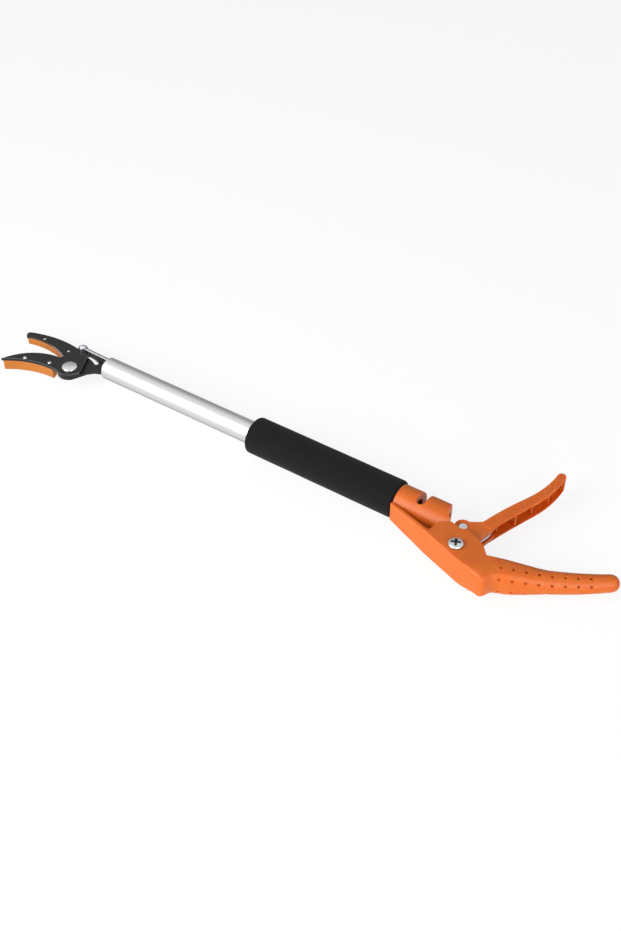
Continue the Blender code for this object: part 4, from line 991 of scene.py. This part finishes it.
@dataclass
class Head(SubAssembly):
    """The two jaw plates with their grip pads, rivets and pivot bolt.

    Attributes:
        plate_edge: The width of a plate's rounded edge that carries the painted
            highlight.
        edge_angle: The least angle of such an edge.
        level: How near the plate's top its points lie.
        ground_width: The width of the fixed jaw's ground strip.
        ground_start: The x that it starts from.
        ground_place: The ground finish's place among a plate's materials.
        painted_highlight_place: The painted highlight's place.
        slope: The least and the largest z of a sloped face's normal.
        slope_side: The least y of it, one way or the other.
        pad_edge: The rounding of the pads.
        pad_edge_steps: How many faces round it.
        pad_edge_angle: The least angle that is rounded.
        rivet_head: The small rivets.
        bolt_head: The truss head and its shank.
    """

    plate_edge: float = 0.35 * MM
    edge_angle: float = 30 * DEG
    level: float = 0.01 * MM
    ground_width: float = 0.9 * MM
    ground_start: float = -292 * MM
    ground_place: int = 1
    painted_highlight_place: int = 2
    slope: Pair = (0.2, 0.6)
    slope_side: float = 0.3
    pad_edge: float = 0.6 * MM
    pad_edge_steps: int = 3
    pad_edge_angle: float = 50 * DEG
    rivet_head: DomedHead = DomedHead(radius=1.9 * MM, crown=0.7 * MM, rim=0.15 * MM,
                                      shank=1.2 * MM, sides=32)
    bolt_head: DomedHead = DomedHead(radius=7.6 * MM, crown=2.6 * MM, rim=0.5 * MM,
                                     shank=3.6 * MM, sides=56)

    def build(self) -> None:
        """Build the jaws from the plates up to the bolt."""
        jaws = (("fixed", Body.POLE), ("moving", Body.JAW))
        for jaw, body in jaws:
            self.plate(jaw, body)
        for jaw, body in jaws:
            pad = refined_copy(f"{jaw}_jaw_pad", self.pad_edge, self.pad_edge_steps,
                               self.pad_edge_angle)
            self.put_down(pad, f"{jaw}_grip_pad", Surface.ORANGE_PAD, body, Slot.PAD,
                          f"{jaw}_jaw_pad", Shading.MOULDED)
        for jaw, body in jaws:
            for number in (1, 2):
                node = f"{jaw}_pad_rivet_{number}"
                self.put_down(self.rivet_head.build(node), f"{node}_domed",
                              Surface.BRIGHT, body, Slot.BRIGHT, node, Shading.TURNED)
        self.put_down(self.bolt_head.build("jaw_bolt"), "jaw_truss_head_bolt",
                      Surface.BRIGHT, Body.POLE, Slot.BRIGHT, "jaw_bolt",
                      Shading.TURNED)
        self.keep("jaw_nut", Surface.ZINC)
        self.keep("neck_pin", Surface.BRIGHT)

    def plate(self, jaw: str, body: Body) -> None:
        """Build a stamped jaw plate with a bright ground cutting edge and painted
        highlights along its edges.

        Args:
            jaw: Which jaw it is.
            body: The body that it moves with.
        """
        node = f"{jaw}_jaw"
        piece = refined_copy(node)
        for surface in (Surface.BLACK, Surface.GROUND, Surface.RUBBED):
            piece.data.materials.append(self.finishes[surface])
        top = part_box(node)[1].z
        with edit_mode(piece):
            if body is Body.POLE:
                # The fixed jaw is ground along the upper edge of its slope only.
                choose(piece, Part.EDGES,
                       lambda edge: self.on_top(edge, top) and self.at_mouth(edge))
                bpy.ops.mesh.bevel(offset=self.ground_width, segments=1,
                                   affect="EDGES", material=self.ground_place,
                                   clamp_overlap=True)
            # The other upper edges are rounded and get the painted highlight, a light
            # grey that stands in for the highlights along them.
            choose(piece, Part.EDGES, lambda edge: self.on_top(edge, top) and not any(
                face.material_index == self.ground_place for face in edge.link_faces))
            bpy.ops.mesh.bevel(offset=self.plate_edge, segments=2, affect="EDGES",
                               material=self.painted_highlight_place, clamp_overlap=True)
        if body is Body.JAW:
            # The moving jaw is ground over the whole of its slope at the mouth.
            for face in piece.data.polygons:
                if self.is_sloped(face.normal) and face.normal.y > self.slope_side:
                    face.material_index = self.ground_place
        self.put_down(piece, f"{node}_plate", Surface.BLACK, body, Slot.BLACK, node,
                      Shading.STAMPED)

    def on_top(self, edge: Edge, top: float) -> bool:
        """Say whether an edge runs round a plate's upper face."""
        return (is_sharp(edge, self.edge_angle)
                and all(abs(v.co.z - top) < self.level for v in edge.verts))

    def is_sloped(self, normal: Vector) -> bool:
        """Say whether a face belongs to the slope that a plate is cut to."""
        return self.slope[0] < abs(normal.z) < self.slope[1]

    def at_mouth(self, edge: Edge) -> bool:
        """Say whether an edge of the slope lies where the ground strip runs."""
        return (all(v.co.x > self.ground_start for v in edge.verts)
                and any(self.is_sloped(face.normal)
                        and face.normal.y < -self.slope_side
                        for face in edge.link_faces))


@dataclass(frozen=True)
class Softbox:
    """A square lamp that faces the tool.

    Attributes:
        name: Its name.
        power: Its power in watts.
        size: The length of its side.
        place: Where it stands, counted from the camera's aim.
    """

    name: str
    power: float
    size: float
    place: Triple


@dataclass
class Studio:
    """A pale floor, plain soft lamps and the camera at the photograph's angle.

    Attributes:
        floor_half: Half the length of the floor's side.
        floor_colour: The floor's sRGB colour.
        floor_glow: The share of it seen as plain white. The rest keeps the shadow.
        world_level: The strength at which the surround lights the tool.
        back: The way to the surround's greyer part, which metal mirrors.
        back_start: How nearly that way it starts.
        back_level: How bright its middle is.
        lamps: The softboxes.
        azimuth: How far the camera stands round from the front.
        elevation: How far it looks down.
        distance: How far it is from the aim.
        aim: The point that it looks at.
        lens: Its focal length in millimetres.
        frame_height_px: The photograph's height.
        focal_px: The focal length in the photograph's pixels.
        clip: The least and the largest distance that it sees.
    """

    floor_half: float = 6.0
    floor_colour: str = "FDFDFD"
    floor_glow: float = 0.85
    world_level: float = 0.30
    back: Triple = (-0.45, 0.75, 0.0)
    back_start: float = 0.45
    back_level: float = 0.4
    lamps: tuple[Softbox, ...] = (
        Softbox("key_softbox", 30.0, 1.1, (-0.6, -1.25, 0.87)),
        Softbox("side_softbox", 17.0, 1.2, (1.4, -0.85, 0.65)))
    azimuth: float = 34.3 * DEG
    elevation: float = 42.0 * DEG
    distance: float = 1.127
    aim: Triple = (31.03 * MM, -31.06 * MM, 17.9 * MM)
    lens: float = 50.0
    frame_height_px: int = 931
    focal_px: float = 1250.0
    clip: Pair = (0.01, 50.0)

    def build(self) -> None:
        """Set the floor, the surround, the lamps and the camera."""
        self.floor()
        self.surround()
        for softbox in self.lamps:
            self.hang(softbox)
        self.camera()
        bpy.context.scene.view_settings.view_transform = "Standard"

    @staticmethod
    def on_rays(tree: Tree, *kinds: str) -> Socket:
        """Tell rays of some kinds from all others.

        Args:
            tree: The node tree.
            kinds: Outputs of the Light Path node.

        Returns:
            An output that is 1 on rays of any of these kinds and 0 on others.
        """
        path = add_node(tree, "ShaderNodeLightPath")
        output = path.outputs[kinds[0]]
        for kind in kinds[1:]:
            either = add_node(tree, "ShaderNodeMath", {"operation": "MAXIMUM"},
                              {0: output, 1: path.outputs[kind]})
            output = either.outputs[0]
        return output

    def floor(self) -> None:
        """Lay a large plain floor, pale enough to read as white."""
        bpy.ops.object.select_all(action="DESELECT")
        bpy.ops.mesh.primitive_plane_add(size=2 * self.floor_half)
        floor = bpy.context.object
        floor.name = "studio_floor"
        material = bpy.data.materials.new("studio_floor_paint")
        material.use_nodes = True
        tree = material.node_tree
        shader = tree.nodes["Principled BSDF"]
        shader.inputs["Base Color"].default_value = linear(self.floor_colour)
        shader.inputs["Roughness"].default_value = 1.0
        shader.inputs["Specular IOR Level"].default_value = 0.0
        seen = self.on_rays(tree, "Is Camera Ray", "Is Glossy Ray",
                            "Is Transmission Ray")
        share = add_node(tree, "ShaderNodeMath", {"operation": "MULTIPLY"}, {0: seen},
                         {1: self.floor_glow})
        white = add_node(tree, "ShaderNodeEmission", None, None, {"Strength": 1.0})
        mix = add_node(tree, "ShaderNodeMixShader", None,
                       {0: share.outputs[0], 1: shader.outputs[0], 2: white.outputs[0]})
        tree.links.new(mix.outputs[0], tree.nodes["Material Output"].inputs["Surface"])
        floor.data.materials.append(material)

    def surround(self) -> None:
        """Light all round in white, with a greyer part that gives metal its edges."""
        world = bpy.data.worlds.new("studio_surround")
        world.use_nodes = True
        tree = world.node_tree
        tree.nodes.clear()
        place = add_node(tree, "ShaderNodeTexCoord")
        towards_back = add_node(tree, "ShaderNodeVectorMath",
                                {"operation": "DOT_PRODUCT"},
                                {0: place.outputs["Generated"]},
                                {1: Vector(self.back).normalized()})
        mirrored = add_node(tree, "ShaderNodeMapRange",
                            {"interpolation_type": "SMOOTHSTEP"},
                            {"Value": towards_back.outputs["Value"]},
                            {"From Min": self.back_start, "From Max": 1.0,
                             "To Min": 1.0, "To Max": self.back_level})
        lit = add_node(tree, "ShaderNodeMix", {"data_type": "FLOAT"},
                       {0: self.on_rays(tree, "Is Glossy Ray"),
                        3: mirrored.outputs["Result"]}, {2: self.world_level})
        clear = self.on_rays(tree, "Is Camera Ray", "Is Transmission Ray")
        level = add_node(tree, "ShaderNodeMix", {"data_type": "FLOAT"},
                         {0: clear, 2: lit.outputs[0]}, {3: 1.0})
        glow = add_node(tree, "ShaderNodeBackground", None,
                        {"Strength": level.outputs[0]}, {"Color": (1.0, 1.0, 1.0, 1.0)})
        add_node(tree, "ShaderNodeOutputWorld", None, {"Surface": glow.outputs[0]})
        bpy.context.scene.world = world

    def hang(self, softbox: Softbox) -> None:
        """Set up a softbox.

        Args:
            softbox: What it is and where it goes.
        """
        data = bpy.data.lights.new(softbox.name, "AREA")
        data.shape = "SQUARE"
        data.size = softbox.size
        data.energy = softbox.power
        lamp = bpy.data.objects.new(softbox.name, data)
        bpy.context.scene.collection.objects.link(lamp)
        place = Vector(softbox.place)
        lamp.location = Vector(self.aim) + place
        lamp.rotation_euler = place.to_track_quat("Z", "Y").to_euler()

    def camera(self) -> None:
        """Set the camera at the photograph's angle and distance."""
        data = bpy.data.cameras.new("studio_camera")
        data.lens = self.lens
        data.sensor_fit = "VERTICAL"
        data.sensor_height = self.lens * self.frame_height_px / self.focal_px
        data.clip_start, data.clip_end = self.clip
        camera = bpy.data.objects.new("studio_camera", data)
        bpy.context.scene.collection.objects.link(camera)
        flat = math.cos(self.elevation) * self.distance
        offset = Vector((flat * math.sin(self.azimuth), -flat * math.cos(self.azimuth),
                         math.sin(self.elevation) * self.distance))
        camera.location = Vector(self.aim) + offset
        camera.rotation_euler = (math.pi / 2 - self.elevation, 0.0, self.azimuth)
        bpy.context.scene.camera = camera


def main() -> None:
    """Build every sub-assembly in order, then the studio."""
    finishes = {surface: surface.value.build() for surface in Surface}
    for assembly in (Pole, Handle, Lever, Linkage, Head):
        assembly(finishes).build()
    Studio().build()


if __name__ == "__main__":
    main()
